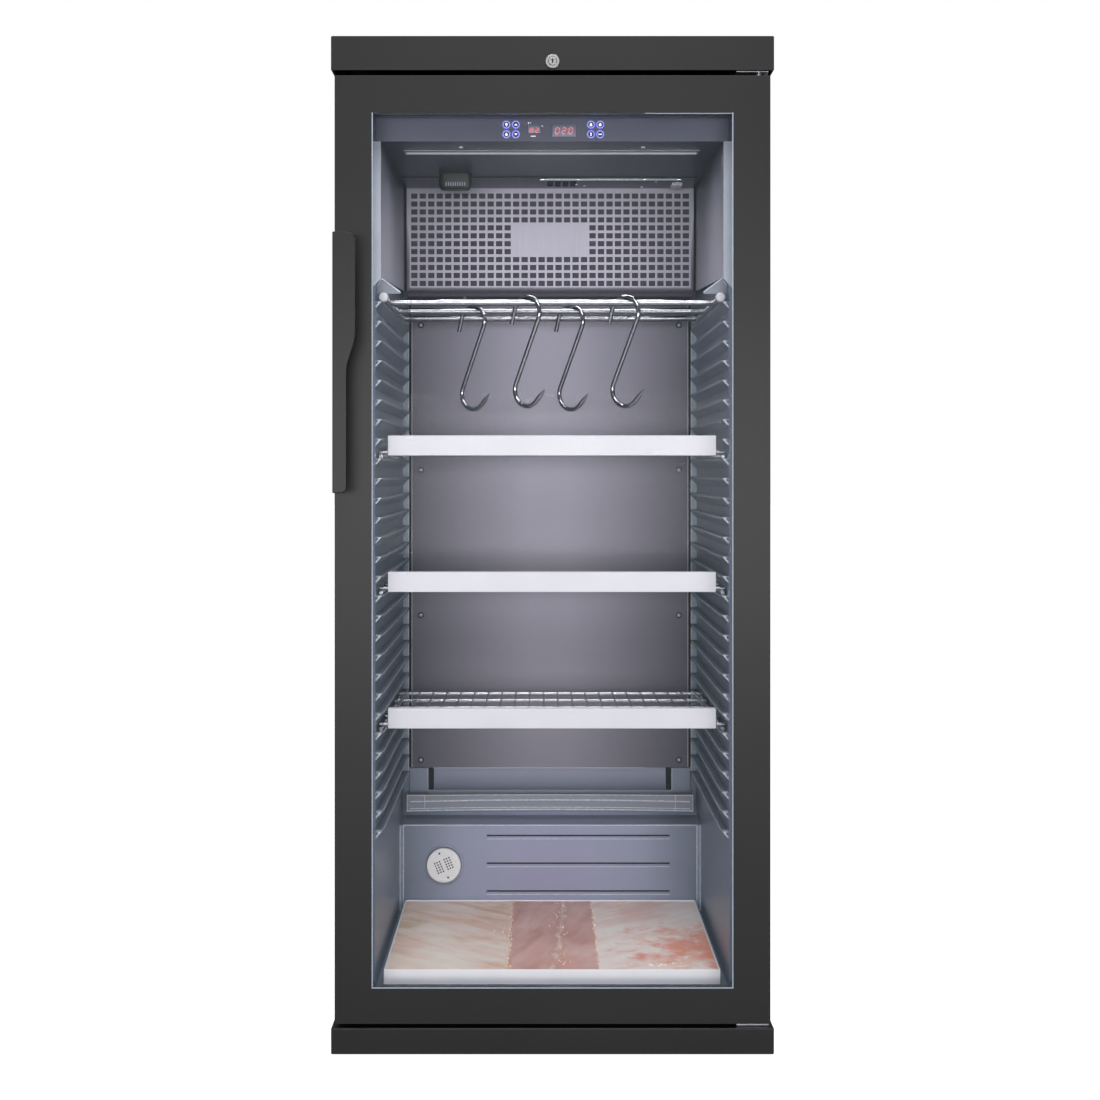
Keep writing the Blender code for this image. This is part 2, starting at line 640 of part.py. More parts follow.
# Door gasket: base strip, hollow-looking bellows and the magnet's bulb, mitred at the corners
GASKET_SIDE_LAP = 0.011
GASKET_BOTTOM_INSET = 0.0225
GASKET_TOP_INSET = 0.038
GASKET_HALF = OPENING_HALF + GASKET_SIDE_LAP
GASKET_BOTTOM = DOOR_BOTTOM + GASKET_BOTTOM_INSET
GASKET_TOP = DOOR_TOP - GASKET_TOP_INSET
GASKET_WIDTH = 0.020
GASKET_STRIP = 0.002
GASKET_NECK = 0.005
GASKET_BULB = 0.005
door_back = FRONT + DOOR_DEPTH + GAP
bulb_start = BODY_FRONT - GAP - GASKET_BULB
gasket_section = (
    (0, door_back),
    (GASKET_WIDTH, door_back),
    (GASKET_WIDTH, door_back + GASKET_STRIP),
    (GASKET_WIDTH - GASKET_NECK, door_back + GASKET_STRIP),
    (GASKET_WIDTH - GASKET_NECK, bulb_start),
    (GASKET_WIDTH - GASKET_STRIP, bulb_start),
    (GASKET_WIDTH - GASKET_STRIP, bulb_start + GASKET_BULB),
    (GASKET_STRIP, bulb_start + GASKET_BULB),
    (GASKET_STRIP, bulb_start),
    (GASKET_NECK, bulb_start),
    (GASKET_NECK, door_back + GASKET_STRIP),
    (0, door_back + GASKET_STRIP),
)
bm = bmesh.new()
add_frame(bm, gasket_section, (-GASKET_HALF, GASKET_BOTTOM), (GASKET_HALF, GASKET_TOP))
piece("door_gasket", bm, RUBBER, door_axis)

# Hinge bushes: flanged sleeves in the door's top and bottom
BUSH_FLANGE_RADIUS = 0.0069
BUSH_FLANGE = 0.0026
BUSH_LENGTH = 0.016


def add_bush(bm, seat, up):
    """A sleeve that hangs into the door, with its flange outside. up is 1 on the door's top."""
    hollow = PIN_RADIUS + GAP
    inside = seat - up * (BUSH_LENGTH + GAP)
    outside = seat + up * (BUSH_FLANGE + GAP)
    face = seat + up * GAP
    rings = ((hollow, inside), (BUSH_RADIUS, inside), (BUSH_RADIUS, face), (BUSH_FLANGE_RADIUS, face))
    rings += ((BUSH_FLANGE_RADIUS, outside), (hollow, outside))
    made = []
    for radius, z in rings:
        ring = []
        for i in range(ROUND_SIDES):
            angle = 2 * math.pi * i / ROUND_SIDES
            across, back = radius * math.cos(angle), radius * math.sin(angle)
            ring.append(bm.verts.new((HINGE_X + across, HINGE_Y + back, z)))
        made.append(ring)
    for ring, following in zip(made, made[1:] + made[:1]):
        for i in range(ROUND_SIDES):
            j = (i + 1) % ROUND_SIDES
            bm.faces.new((ring[i], ring[j], following[j], following[i]))


for name, seat, up in (("hinge_bush_top", DOOR_TOP, 1), ("hinge_bush_bottom", DOOR_BOTTOM, -1)):
    bm = bmesh.new()
    add_bush(bm, seat, up)
    piece(name, bm, WHITE_PLASTIC, door_axis)

# Handle: a flat plate with a stepped right edge, on a web along its left edge
HANDLE_INSET = 0.0026
HANDLE_DROP = 0.218
HANDLE_LENGTH = 0.347
HANDLE_LEFT = -DOOR_HALF + HANDLE_INSET
HANDLE_TOP = DOOR_TOP - HANDLE_DROP
HANDLE_BOTTOM = HANDLE_TOP - HANDLE_LENGTH
HANDLE_WIDE = 0.0311
HANDLE_NARROW = 0.0191
HANDLE_THICK = 0.004
STEP_DROP = 0.132
STEP_LENGTH = 0.056
STEP_TOP = HANDLE_TOP - STEP_DROP
STEP_BOTTOM = STEP_TOP - STEP_LENGTH
STEP_POINTS = 8
TOP_CORNER = 0.013
BOTTOM_CORNER = 0.008
CORNER_POINTS = 4


def corner_arc(centre, radius, start_quarter):
    """Points of a quarter circle, from a whole number of quarter turns on."""
    angles = [(start_quarter + i / CORNER_POINTS) * math.pi / 2 for i in range(CORNER_POINTS + 1)]
    return [(centre[0] + radius * math.cos(a), centre[1] + radius * math.sin(a)) for a in angles]


wide, narrow = HANDLE_LEFT + HANDLE_WIDE, HANDLE_LEFT + HANDLE_NARROW
handle_outline = [(HANDLE_LEFT, HANDLE_TOP), (HANDLE_LEFT, HANDLE_BOTTOM)]
handle_outline += corner_arc((narrow - BOTTOM_CORNER, HANDLE_BOTTOM + BOTTOM_CORNER), BOTTOM_CORNER, 3)
for i in range(STEP_POINTS + 1):
    share = i / STEP_POINTS
    blend = (1 - math.cos(math.pi * share)) / 2
    step_z = STEP_BOTTOM + (STEP_TOP - STEP_BOTTOM) * share
    handle_outline.append((narrow + (wide - narrow) * blend, step_z))
handle_outline += corner_arc((wide - TOP_CORNER, HANDLE_TOP - TOP_CORNER), TOP_CORNER, 0)
bm = bmesh.new()
handle_front = FRONT - HANDLE_REACH
add_prism(bm, handle_outline, "Y", handle_front, handle_front + HANDLE_THICK)
door_handle = piece("door_handle", bm, DARK_PAINT, door_axis)
bm = bmesh.new()
add_box(
    bm,
    (HANDLE_LEFT, handle_front + HANDLE_THICK - WELD, HANDLE_BOTTOM),
    (HANDLE_LEFT + HANDLE_THICK, FRONT - GAP, HANDLE_TOP),
)
shaped(door_handle, "UNION", bm)

# Strike plate: on the door's top, with the slot that the lock's cam drops into
STRIKE_LEFT = -0.032
STRIKE_RIGHT = 0.012
STRIKE_THICK = 0.0015
STRIKE_MARGIN = 0.008
STRIKE_FRONT = SLOT_FRONT - STRIKE_MARGIN
STRIKE_REAR = SLOT_REAR + STRIKE_MARGIN
bm = bmesh.new()
strike_bottom = DOOR_TOP + GAP
strike_top = strike_bottom + STRIKE_THICK
add_box(bm, (STRIKE_LEFT, STRIKE_FRONT, strike_bottom), (STRIKE_RIGHT, STRIKE_REAR, strike_top))
strike = piece("strike_plate", bm, STAINLESS, door_axis)
bm = bmesh.new()
add_box(
    bm,
    (SLOT_LEFT, SLOT_FRONT, strike_bottom - OVERRUN),
    (SLOT_RIGHT, SLOT_REAR, strike_bottom + STRIKE_THICK + OVERRUN),
)
shaped(strike, "DIFFERENCE", bm)

# Lock: a flanged housing in the lid, its turning plug, and the cam on the plug's end
LOCK_FLANGE_RADIUS = 0.00935
LOCK_FLANGE = 0.0025
LOCK_LENGTH = 0.018
PLUG_RADIUS = 0.0055
PLUG_PROUD = 0.0008
PLUG_LENGTH = 0.0202
KEY_WIDTH = 0.0016
KEY_HEIGHT = 0.007
KEY_DEPTH = 0.012
CAM_THICK = 0.002
CAM_HUB = 0.0065
CAM_HALF = 0.005
CAM_LENGTH = 0.0245
CAM_POINTS = 8
bm = bmesh.new()
lock_profile = (
    (0, GAP + LOCK_FLANGE),
    (LOCK_FLANGE_RADIUS, GAP + LOCK_FLANGE),
    (LOCK_FLANGE_RADIUS, GAP),
    (LOCK_BODY_RADIUS, GAP),
    (LOCK_BODY_RADIUS, -LOCK_LENGTH),
    (0, -LOCK_LENGTH),
)
add_turned(bm, lock_profile, (0, FRONT, LOCK_Z), -Y_AXIS, ROUND_SIDES)
housing = piece("lock_housing", bm, CHROME)
bm = bmesh.new()
bore_front = FRONT - LOCK_FLANGE - OVERRUN
add_bar(bm, (0, bore_front, LOCK_Z), (0, FRONT + LOCK_LENGTH + OVERRUN, LOCK_Z), PLUG_RADIUS + GAP)
shaped(housing, "DIFFERENCE", bm)
lock_axis = joint_origin("lock_axis", (0, FRONT, LOCK_Z))
bm = bmesh.new()
plug_front = FRONT - GAP - LOCK_FLANGE - PLUG_PROUD
add_bar(bm, (0, plug_front, LOCK_Z), (0, FRONT + PLUG_LENGTH - GAP, LOCK_Z), PLUG_RADIUS)
plug = piece("lock_plug", bm, CHROME, lock_axis)
bm = bmesh.new()
add_box(
    bm,
    (-KEY_WIDTH / 2, plug_front - OVERRUN, LOCK_Z - KEY_HEIGHT / 2),
    (KEY_WIDTH / 2, plug_front + KEY_DEPTH, LOCK_Z + KEY_HEIGHT / 2),
)
shaped(plug, "DIFFERENCE", bm)
cam_end = CAM_LENGTH - CAM_HALF
cam_outline = []
for i in range(CAM_POINTS + 1):
    angle = math.pi / 2 + math.pi * i / CAM_POINTS
    cam_outline.append((-cam_end + CAM_HALF * math.cos(angle), LOCK_Z + CAM_HALF * math.sin(angle)))
hub_start = math.asin(CAM_HALF / CAM_HUB)
for i in range(CAM_POINTS + 1):
    angle = -math.pi + hub_start + (2 * math.pi - 2 * hub_start) * i / CAM_POINTS
    cam_outline.append((CAM_HUB * math.cos(angle), LOCK_Z + CAM_HUB * math.sin(angle)))
bm = bmesh.new()
add_prism(bm, cam_outline, "Y", FRONT + PLUG_LENGTH, FRONT + PLUG_LENGTH + CAM_THICK)
piece("lock_cam", bm, GALVANISED, lock_axis)

# Control fascia: a panel under the chamber's front edge, with two display windows
FASCIA_INSET = 0.001
FASCIA_THICK = 0.004
FASCIA_HEIGHT = 0.0331
FASCIA_FRONT = BODY_FRONT + FASCIA_INSET
FASCIA_TOP = CHAMBER_CEILING - GAP
FASCIA_HALF = CHAMBER_HALF - GAP
WINDOW_DROP = 0.010
SMALL_WINDOW = (-0.0339, -0.0159)
SMALL_WINDOW_HEIGHT = 0.0115
LARGE_WINDOW = (0.0, 0.0334)
LARGE_WINDOW_HEIGHT = 0.0165
WINDOWS = ((SMALL_WINDOW, SMALL_WINDOW_HEIGHT), (LARGE_WINDOW, LARGE_WINDOW_HEIGHT))
bm = bmesh.new()
fascia_back = FASCIA_FRONT + FASCIA_THICK
fascia_bottom = FASCIA_TOP - FASCIA_HEIGHT
add_box(bm, (-FASCIA_HALF, FASCIA_FRONT, fascia_bottom), (FASCIA_HALF, fascia_back, FASCIA_TOP))
fascia = piece("control_fascia", bm, LINER_PLASTIC)
bm = bmesh.new()
window_top = FASCIA_TOP - WINDOW_DROP
for (left, right), height in WINDOWS:
    add_box(
        bm,
        (left, FASCIA_FRONT - OVERRUN, window_top - height),
        (right, fascia_back + OVERRUN, window_top),
    )
shaped(fascia, "DIFFERENCE", bm)

# Control board: the circuit board, whose two displays stand in the fascia's windows
BOARD_HALF = 0.085
BOARD_THICK = 0.0016
BOARD_MARGIN = 0.003
DISPLAY_RECESS = 0.0005
bm = bmesh.new()
board_front = fascia_back + GAP
board_low = (-BOARD_HALF, board_front, FASCIA_TOP - FASCIA_HEIGHT + BOARD_MARGIN)
add_box(bm, board_low, (BOARD_HALF, board_front + BOARD_THICK, FASCIA_TOP - BOARD_MARGIN))
board = piece("control_display_board", bm, CIRCUIT)
bm = bmesh.new()
for (left, right), height in WINDOWS:
    add_box(
        bm,
        (left + GAP, FASCIA_FRONT + DISPLAY_RECESS, window_top - height + GAP),
        (right - GAP, board_front + BOARD_THICK / 2, window_top - GAP),
    )
shaped(board, "UNION", bm)

# Air hood: a steel canopy over the hanging space, its sides flared to the liner in front
HOOD_SHEET = 0.0015
HOOD_SIDE_SPACE = 0.0055
HOOD_TOP_SPACE = 0.0245
HOOD_SETBACK = 0.030
HOOD_FRONT_HEIGHT = 0.1955
HOOD_REAR_HEIGHT = 0.172
COVER_DEPTH = 0.050
COVER_FRONT = CHAMBER_BACK - COVER_DEPTH
HOOD_HALF = CHAMBER_HALF - HOOD_SIDE_SPACE
HOOD_TOP = CHAMBER_CEILING - HOOD_TOP_SPACE
HOOD_FRONT = BODY_FRONT + HOOD_SETBACK
HOOD_REAR = COVER_FRONT - HOOD_SHEET
HOOD_FRONT_BOTTOM = HOOD_TOP - HOOD_FRONT_HEIGHT
HOOD_REAR_BOTTOM = HOOD_TOP - HOOD_REAR_HEIGHT
HOOD_BROW = 0.014
HOOD_FLARE = 0.010
bm = bmesh.new()
hood_inner = HOOD_HALF - HOOD_SHEET
CEILING_Z = HOOD_TOP - HOOD_SHEET
hood_outline = (
    (-HOOD_HALF, HOOD_FRONT_BOTTOM),
    (-hood_inner, HOOD_FRONT_BOTTOM),
    (-hood_inner, CEILING_Z),
    (hood_inner, CEILING_Z),
    (hood_inner, HOOD_FRONT_BOTTOM),
    (HOOD_HALF, HOOD_FRONT_BOTTOM),
    (HOOD_HALF, HOOD_TOP),
    (-HOOD_HALF, HOOD_TOP),
)
add_prism(bm, hood_outline, "Y", HOOD_FRONT, HOOD_REAR)
hood = piece("air_hood", bm, STAINLESS)
bm = bmesh.new()
for side in (-1, 1):
    flare_tip = side * (CHAMBER_HALF - GAP)
    flare_root = side * (hood_inner + HOOD_SHEET / 2)
    flare = (
        (flare_root, HOOD_FRONT + HOOD_SHEET),
        (flare_root - side * HOOD_SHEET / 2, HOOD_FRONT),
        (flare_tip - side * HOOD_SHEET / 2, HOOD_FRONT - HOOD_FLARE),
        (flare_tip, HOOD_FRONT - HOOD_FLARE + HOOD_SHEET),
    )
    add_prism(bm, flare, "Z", HOOD_FRONT_BOTTOM, CEILING_Z)
shaped(hood, "UNION", bm)
bm = bmesh.new()
brow_front = HOOD_FRONT - HOOD_BROW
add_box(bm, (-hood_inner, brow_front, CEILING_Z), (hood_inner, HOOD_FRONT + HOOD_SHEET, HOOD_TOP))
shaped(hood, "UNION", bm)
bm = bmesh.new()
hood_slope = (
    (HOOD_FRONT - HOOD_FLARE, HOOD_FRONT_BOTTOM - OVERRUN),
    (HOOD_REAR + OVERRUN, HOOD_FRONT_BOTTOM - OVERRUN),
    (HOOD_REAR + OVERRUN, HOOD_REAR_BOTTOM),
    (HOOD_FRONT, HOOD_FRONT_BOTTOM),
)
add_prism(bm, hood_slope, "X", -CHAMBER_HALF, CHAMBER_HALF)
shaped(hood, "DIFFERENCE", bm)

# LED strip: a flat light under the hood's ceiling, round at both ends
LED_SIDE_SPACE = 0.032
LED_SETBACK = 0.080
LED_HALF = CHAMBER_HALF - LED_SIDE_SPACE
LED_FRONT = BODY_FRONT + LED_SETBACK
LED_WIDTH = 0.037
LED_THICK = 0.003
LED_END_POINTS = 8
led_middle, led_radius = LED_FRONT + LED_WIDTH / 2, LED_WIDTH / 2
led_outline = []
for side in (1, -1):
    for i in range(LED_END_POINTS + 1):
        angle = math.pi * (i / LED_END_POINTS - side / 2)
        led_end = side * (LED_HALF - led_radius)
        led_outline.append((led_end + led_radius * math.cos(angle), led_middle + led_radius * math.sin(angle)))
bm = bmesh.new()
add_prism(bm, led_outline, "Z", CEILING_Z - GAP - LED_THICK, CEILING_Z - GAP)
piece("led_strip", bm, LIGHT_COVER)

# Ultraviolet tube: a thin lamp in two end holders under the ceiling
UV_LENGTH = 0.2276
UV_SIDE_SPACE = 0.0361
UV_SETBACK = 0.078
UV_RIGHT = CHAMBER_HALF - UV_SIDE_SPACE
UV_LEFT = UV_RIGHT - UV_LENGTH
UV_Y = COVER_FRONT - UV_SETBACK
UV_RADIUS = 0.004
UV_DROP = 0.010
UV_HOLDER = 0.010
bm = bmesh.new()
uv_z = CEILING_Z - UV_DROP
add_bar(bm, (UV_LEFT, UV_Y, uv_z), (UV_RIGHT, UV_Y, uv_z), UV_RADIUS, ROUND_SIDES // 2)
uv_tube = piece("uv_tube", bm, LIGHT_COVER)
bm = bmesh.new()
for start, end in ((UV_LEFT - WELD, UV_LEFT + UV_HOLDER), (UV_RIGHT - UV_HOLDER, UV_RIGHT + WELD)):
    holder_half = UV_HOLDER / 2
    add_box(bm, (start, UV_Y - holder_half, uv_z - holder_half), (end, UV_Y + holder_half, CEILING_Z - GAP))
shaped(uv_tube, "UNION", bm)

# Air sensor: an oval housing that hangs under the ceiling
SENSOR_SIDE_SPACE = 0.097
SENSOR_SETBACK = 0.115
SENSOR_X = -CHAMBER_HALF + SENSOR_SIDE_SPACE
SENSOR_Y = COVER_FRONT - SENSOR_SETBACK
SENSOR_HALF_WIDTH = 0.0255
SENSOR_HALF_HEIGHT = 0.012
SENSOR_DEPTH = 0.022
SENSOR_POINTS = 20
sensor_z = CEILING_Z - GAP - SENSOR_HALF_HEIGHT
sensor_outline = []
for i in range(SENSOR_POINTS):
    angle = 2 * math.pi * i / SENSOR_POINTS
    sensor_outline.append(
        (SENSOR_X + SENSOR_HALF_WIDTH * math.cos(angle), sensor_z + SENSOR_HALF_HEIGHT * math.sin(angle))
    )
bm = bmesh.new()
add_prism(bm, sensor_outline, "Y", SENSOR_Y, SENSOR_Y + SENSOR_DEPTH)
piece("air_sensor", bm, DARK_PLASTIC)

# Evaporator cover: a perforated steel panel with a bare middle, turned back below to the liner
COVER_SIDE_SPACE = 0.0104
COVER_HALF = CHAMBER_HALF - COVER_SIDE_SPACE
COVER_SHEET = 0.0015
COVER_BOTTOM = HOOD_REAR_BOTTOM
COVER_TOP = CEILING_Z - GAP
HOLE_PITCH_X = 0.0140
HOLE_PITCH_Z = 0.0131
HOLE_WIDTH = 0.0105
HOLE_HEIGHT = 0.0088
HOLE_MARGIN = 0.005
HOLE_COLUMNS = int((2 * (COVER_HALF - HOLE_MARGIN) - HOLE_WIDTH) / HOLE_PITCH_X) + 1
HOLE_ROWS = int((COVER_TOP - COVER_BOTTOM - 2 * HOLE_MARGIN - HOLE_HEIGHT) / HOLE_PITCH_Z) + 1
BARE_COLUMN_COUNT = 9
BARE_ROW_COUNT = 4
bare_column = (HOLE_COLUMNS - BARE_COLUMN_COUNT) // 2
bare_row = (HOLE_ROWS - BARE_ROW_COUNT) // 2
BARE_COLUMNS = range(bare_column, bare_column + BARE_COLUMN_COUNT)
BARE_ROWS = range(bare_row, bare_row + BARE_ROW_COUNT)
bm = bmesh.new()
cover_outline = (
    (COVER_FRONT, COVER_BOTTOM),
    (CHAMBER_BACK - GAP, COVER_BOTTOM),
    (CHAMBER_BACK - GAP, COVER_BOTTOM + COVER_SHEET),
    (COVER_FRONT + COVER_SHEET, COVER_BOTTOM + COVER_SHEET),
    (COVER_FRONT + COVER_SHEET, COVER_TOP),
    (COVER_FRONT, COVER_TOP),
)
add_prism(bm, cover_outline, "X", -COVER_HALF, COVER_HALF)
cover = piece("evaporator_cover", bm, STAINLESS)
bm = bmesh.new()
cover_middle = (COVER_BOTTOM + COVER_TOP) / 2
for column in range(HOLE_COLUMNS):
    for row in range(HOLE_ROWS):
        if column in BARE_COLUMNS and row in BARE_ROWS:
            continue
        x = (column - (HOLE_COLUMNS - 1) / 2) * HOLE_PITCH_X
        z = cover_middle + (row - (HOLE_ROWS - 1) / 2) * HOLE_PITCH_Z
        add_box(
            bm,
            (x - HOLE_WIDTH / 2, COVER_FRONT - OVERRUN, z - HOLE_HEIGHT / 2),
            (x + HOLE_WIDTH / 2, COVER_FRONT + COVER_SHEET + OVERRUN, z + HOLE_HEIGHT / 2),
        )
shaped(cover, "DIFFERENCE", bm)

# Evaporator coil: a finned block that stands on the cover's floor
COIL_SIDE_SPACE = 0.047
COIL_FAN_SPACE = 0.070
FAN_SIDE_SPACE = 0.087
COIL_FRONT_SPACE = 0.011
COIL_REAR_SPACE = 0.007
FAN_X = CHAMBER_HALF - FAN_SIDE_SPACE
COIL_LEFT = -CHAMBER_HALF + COIL_SIDE_SPACE
COIL_RIGHT = FAN_X - COIL_FAN_SPACE
COIL_FRONT = COVER_FRONT + COIL_FRONT_SPACE
COIL_REAR = CHAMBER_BACK - COIL_REAR_SPACE
COIL_HEIGHT = 0.095
COIL_CORE = 0.012
COIL_FINS = 16
COIL_FIN = 0.002
bm = bmesh.new()
coil_bottom = COVER_BOTTOM + COVER_SHEET + GAP
coil_outline = [(COIL_RIGHT, coil_bottom), (COIL_LEFT, coil_bottom)]
fin_pitch = (COIL_RIGHT - COIL_LEFT - COIL_FIN) / (COIL_FINS - 1)
for fin in range(COIL_FINS):
    left = COIL_LEFT + fin * fin_pitch
    if fin:
        coil_outline.append((left, coil_bottom + COIL_CORE))
    coil_outline += [(left, coil_bottom + COIL_HEIGHT), (left + COIL_FIN, coil_bottom + COIL_HEIGHT)]
    if fin < COIL_FINS - 1:
        coil_outline.append((left + COIL_FIN, coil_bottom + COIL_CORE))
add_prism(bm, coil_outline, "Y", COIL_FRONT, COIL_REAR)
piece("evaporator_coil", bm, STAINLESS)

# Evaporator fan: a square frame with the motor boss, and the rotor in front of the boss
FAN_SIZE = 0.092
FAN_DEPTH = 0.025
FAN_BORE_RADIUS = 0.043
FAN_BOSS_RADIUS = 0.018
FAN_BOSS_DEPTH = 0.010
FAN_STRUT = 0.004
ROTOR_RADIUS = 0.040
ROTOR_HUB_RADIUS = 0.016
ROTOR_DEPTH = 0.012
BLADE_COUNT = 7
BLADE_THICK = 0.0015
BLADE_HALF_CHORD = 0.0065
BLADE_ROOT = 0.013
BLADE_PITCH = math.radians(35)
fan_z = coil_bottom + FAN_SIZE / 2
fan_rear = COIL_REAR - WELD
fan_front = fan_rear - FAN_DEPTH
bm = bmesh.new()
fan_left = FAN_X - FAN_SIZE / 2
add_box(bm, (fan_left, fan_front, coil_bottom), (fan_left + FAN_SIZE, fan_rear, coil_bottom + FAN_SIZE))
fan_frame = piece("fan_frame", bm, DARK_PLASTIC)
bm = bmesh.new()
add_bar(bm, (FAN_X, fan_front - OVERRUN, fan_z), (FAN_X, fan_rear + OVERRUN, fan_z), FAN_BORE_RADIUS)
shaped(fan_frame, "DIFFERENCE", bm)
bm = bmesh.new()
strut_half = FAN_STRUT / 2
add_box(
    bm,
    (FAN_X - FAN_SIZE / 2 + FAN_STRUT / 2, fan_rear - FAN_STRUT, fan_z - strut_half),
    (FAN_X + FAN_SIZE / 2 - FAN_STRUT / 2, fan_rear - WELD, fan_z + strut_half),
)
shaped(fan_frame, "UNION", bm)
bm = bmesh.new()
add_bar(bm, (FAN_X, fan_rear - FAN_BOSS_DEPTH, fan_z), (FAN_X, fan_rear, fan_z), FAN_BOSS_RADIUS)
shaped(fan_frame, "UNION", bm)
rotor_rear = fan_rear - FAN_BOSS_DEPTH - GAP
fan_axis = joint_origin("fan_axis", (FAN_X, rotor_rear, fan_z))
bm = bmesh.new()
add_bar(bm, (FAN_X, rotor_rear - ROTOR_DEPTH, fan_z), (FAN_X, rotor_rear, fan_z), ROTOR_HUB_RADIUS)
rotor = piece("fan_rotor", bm, DARK_PLASTIC, fan_axis)
bm = bmesh.new()
for blade in range(BLADE_COUNT):
    blade_length = ROTOR_RADIUS - BLADE_ROOT
    size = Matrix.Diagonal((BLADE_THICK, 2 * BLADE_HALF_CHORD, blade_length, 1))
    out = Matrix.Translation((0, 0, BLADE_ROOT + blade_length / 2))
    turn = Matrix.Rotation(2 * math.pi * blade / BLADE_COUNT, 4, "Y")
    place = Matrix.Translation((FAN_X, rotor_rear - ROTOR_DEPTH / 2, fan_z))
    pitch = Matrix.Rotation(BLADE_PITCH, 4, "Z")
    bmesh.ops.create_cube(bm, size=1, matrix=place @ turn @ out @ pitch @ size)
shaped(rotor, "UNION", bm)

# Rear duct panel: a steel sheet that stands off the liner's back on its folded sides
DUCT_SIDE_SPACE = 0.0155
DUCT_STANDOFF = 0.007
DRIP_LIFT = 0.0144
DRIP_HEIGHT = 0.028
DUCT_LIFT = 0.039
DUCT_HALF = CHAMBER_HALF - DUCT_SIDE_SPACE
DRIP_BOTTOM = HUMP_TOP + DRIP_LIFT
DUCT_BOTTOM = DRIP_BOTTOM + DRIP_HEIGHT + DUCT_LIFT
duct_face = CHAMBER_BACK - DUCT_STANDOFF
duct_outline = (
    (-DUCT_HALF, CHAMBER_BACK - GAP),
    (-DUCT_HALF, duct_face),
    (DUCT_HALF, duct_face),
    (DUCT_HALF, CHAMBER_BACK - GAP),
    (DUCT_HALF - SHEET, CHAMBER_BACK - GAP),
    (DUCT_HALF - SHEET, duct_face + SHEET),
    (-DUCT_HALF + SHEET, duct_face + SHEET),
    (-DUCT_HALF + SHEET, CHAMBER_BACK - GAP),
)
bm = bmesh.new()
add_prism(bm, duct_outline, "Z", DUCT_BOTTOM, COVER_BOTTOM - GAP)
piece("rear_duct_panel", bm, STAINLESS)

# Drip channel: a clear trough on the liner's back, under the duct
DRIP_SIDE_SPACE = 0.009
DRIP_DEPTH = 0.035
DRIP_HALF = CHAMBER_HALF - DRIP_SIDE_SPACE
DRIP_FRONT = CHAMBER_BACK - DRIP_DEPTH
DRIP_WALL = 0.002
bm = bmesh.new()
drip_rear = CHAMBER_BACK - GAP
add_box(bm, (-DRIP_HALF, DRIP_FRONT, DRIP_BOTTOM), (DRIP_HALF, drip_rear, DRIP_BOTTOM + DRIP_HEIGHT))
drip = piece("drip_channel", bm, CLEAR_PLASTIC)
bm = bmesh.new()
add_box(
    bm,
    (-DRIP_HALF + DRIP_WALL, DRIP_FRONT + DRIP_WALL, DRIP_BOTTOM + DRIP_WALL),
    (DRIP_HALF - DRIP_WALL, drip_rear - DRIP_WALL, DRIP_BOTTOM + DRIP_HEIGHT + OVERRUN),
)
shaped(drip, "DIFFERENCE", bm)

# Hanging rail frame: two side bars on the top ribs, and three rails welded between them
SIDE_BAR_RADIUS = 0.006
SIDE_BAR_SPACE = 0.011
SIDE_BAR_SETBACK = 0.013
SIDE_BAR_REAR_SPACE = 0.015
SIDE_BAR_X = CHAMBER_HALF - SIDE_BAR_SPACE
SIDE_BAR_FRONT = BODY_FRONT + SIDE_BAR_SETBACK
SIDE_BAR_REAR = COVER_FRONT - SIDE_BAR_REAR_SPACE
RAIL_RADIUS = 0.005
RAIL_SIDES = 12
FRONT_RAIL_SHARE = 0.1867
MIDDLE_RAIL_SHARE = 0.5181
REAR_RAIL_SHARE = 0.8253
side_bar_length = SIDE_BAR_REAR - SIDE_BAR_FRONT
FRONT_RAIL_Y = SIDE_BAR_FRONT + FRONT_RAIL_SHARE * side_bar_length
MIDDLE_RAIL_Y = SIDE_BAR_FRONT + MIDDLE_RAIL_SHARE * side_bar_length
REAR_RAIL_Y = SIDE_BAR_FRONT + REAR_RAIL_SHARE * side_bar_length
RAIL_Z = rib_top(RIB_COUNT - 1) + GAP + SIDE_BAR_RADIUS
bm = bmesh.new()
for side in (-1, 1):
    x = side * SIDE_BAR_X
    add_bar(bm, (x, SIDE_BAR_FRONT, RAIL_Z), (x, SIDE_BAR_REAR, RAIL_Z), SIDE_BAR_RADIUS, RAIL_SIDES)
rail_frame = piece("hanging_rail_frame", bm, CHROME)
bm = bmesh.new()
for y in (FRONT_RAIL_Y, MIDDLE_RAIL_Y, REAR_RAIL_Y):
    add_bar(bm, (-SIDE_BAR_X, y, RAIL_Z), (SIDE_BAR_X, y, RAIL_Z), RAIL_RADIUS, RAIL_SIDES)
shaped(rail_frame, "UNION", bm)

# S-hooks: pointed steel hooks that hang on the front and middle rails
HOOK_RADIUS = 0.003
HOOK_HEIGHT = 0.165
HOOK_BEND = 0.024
HOOK_FREE_END = 0.008
HOOK_POINT = 0.022
HOOK_TIP = 0.013
HOOK_TIP_SHARE = 0.12
HOOK_ARC_POINTS = 9
HOOK_START = math.radians(195)
HOOK_END = math.radians(315)
HOOK_TURN = math.radians(40)
HOOK_SHARES = (-0.4818, -0.1457, 0.1215, 0.4291)
HOOK_RAILS = (MIDDLE_RAIL_Y, FRONT_RAIL_Y, MIDDLE_RAIL_Y, FRONT_RAIL_Y)


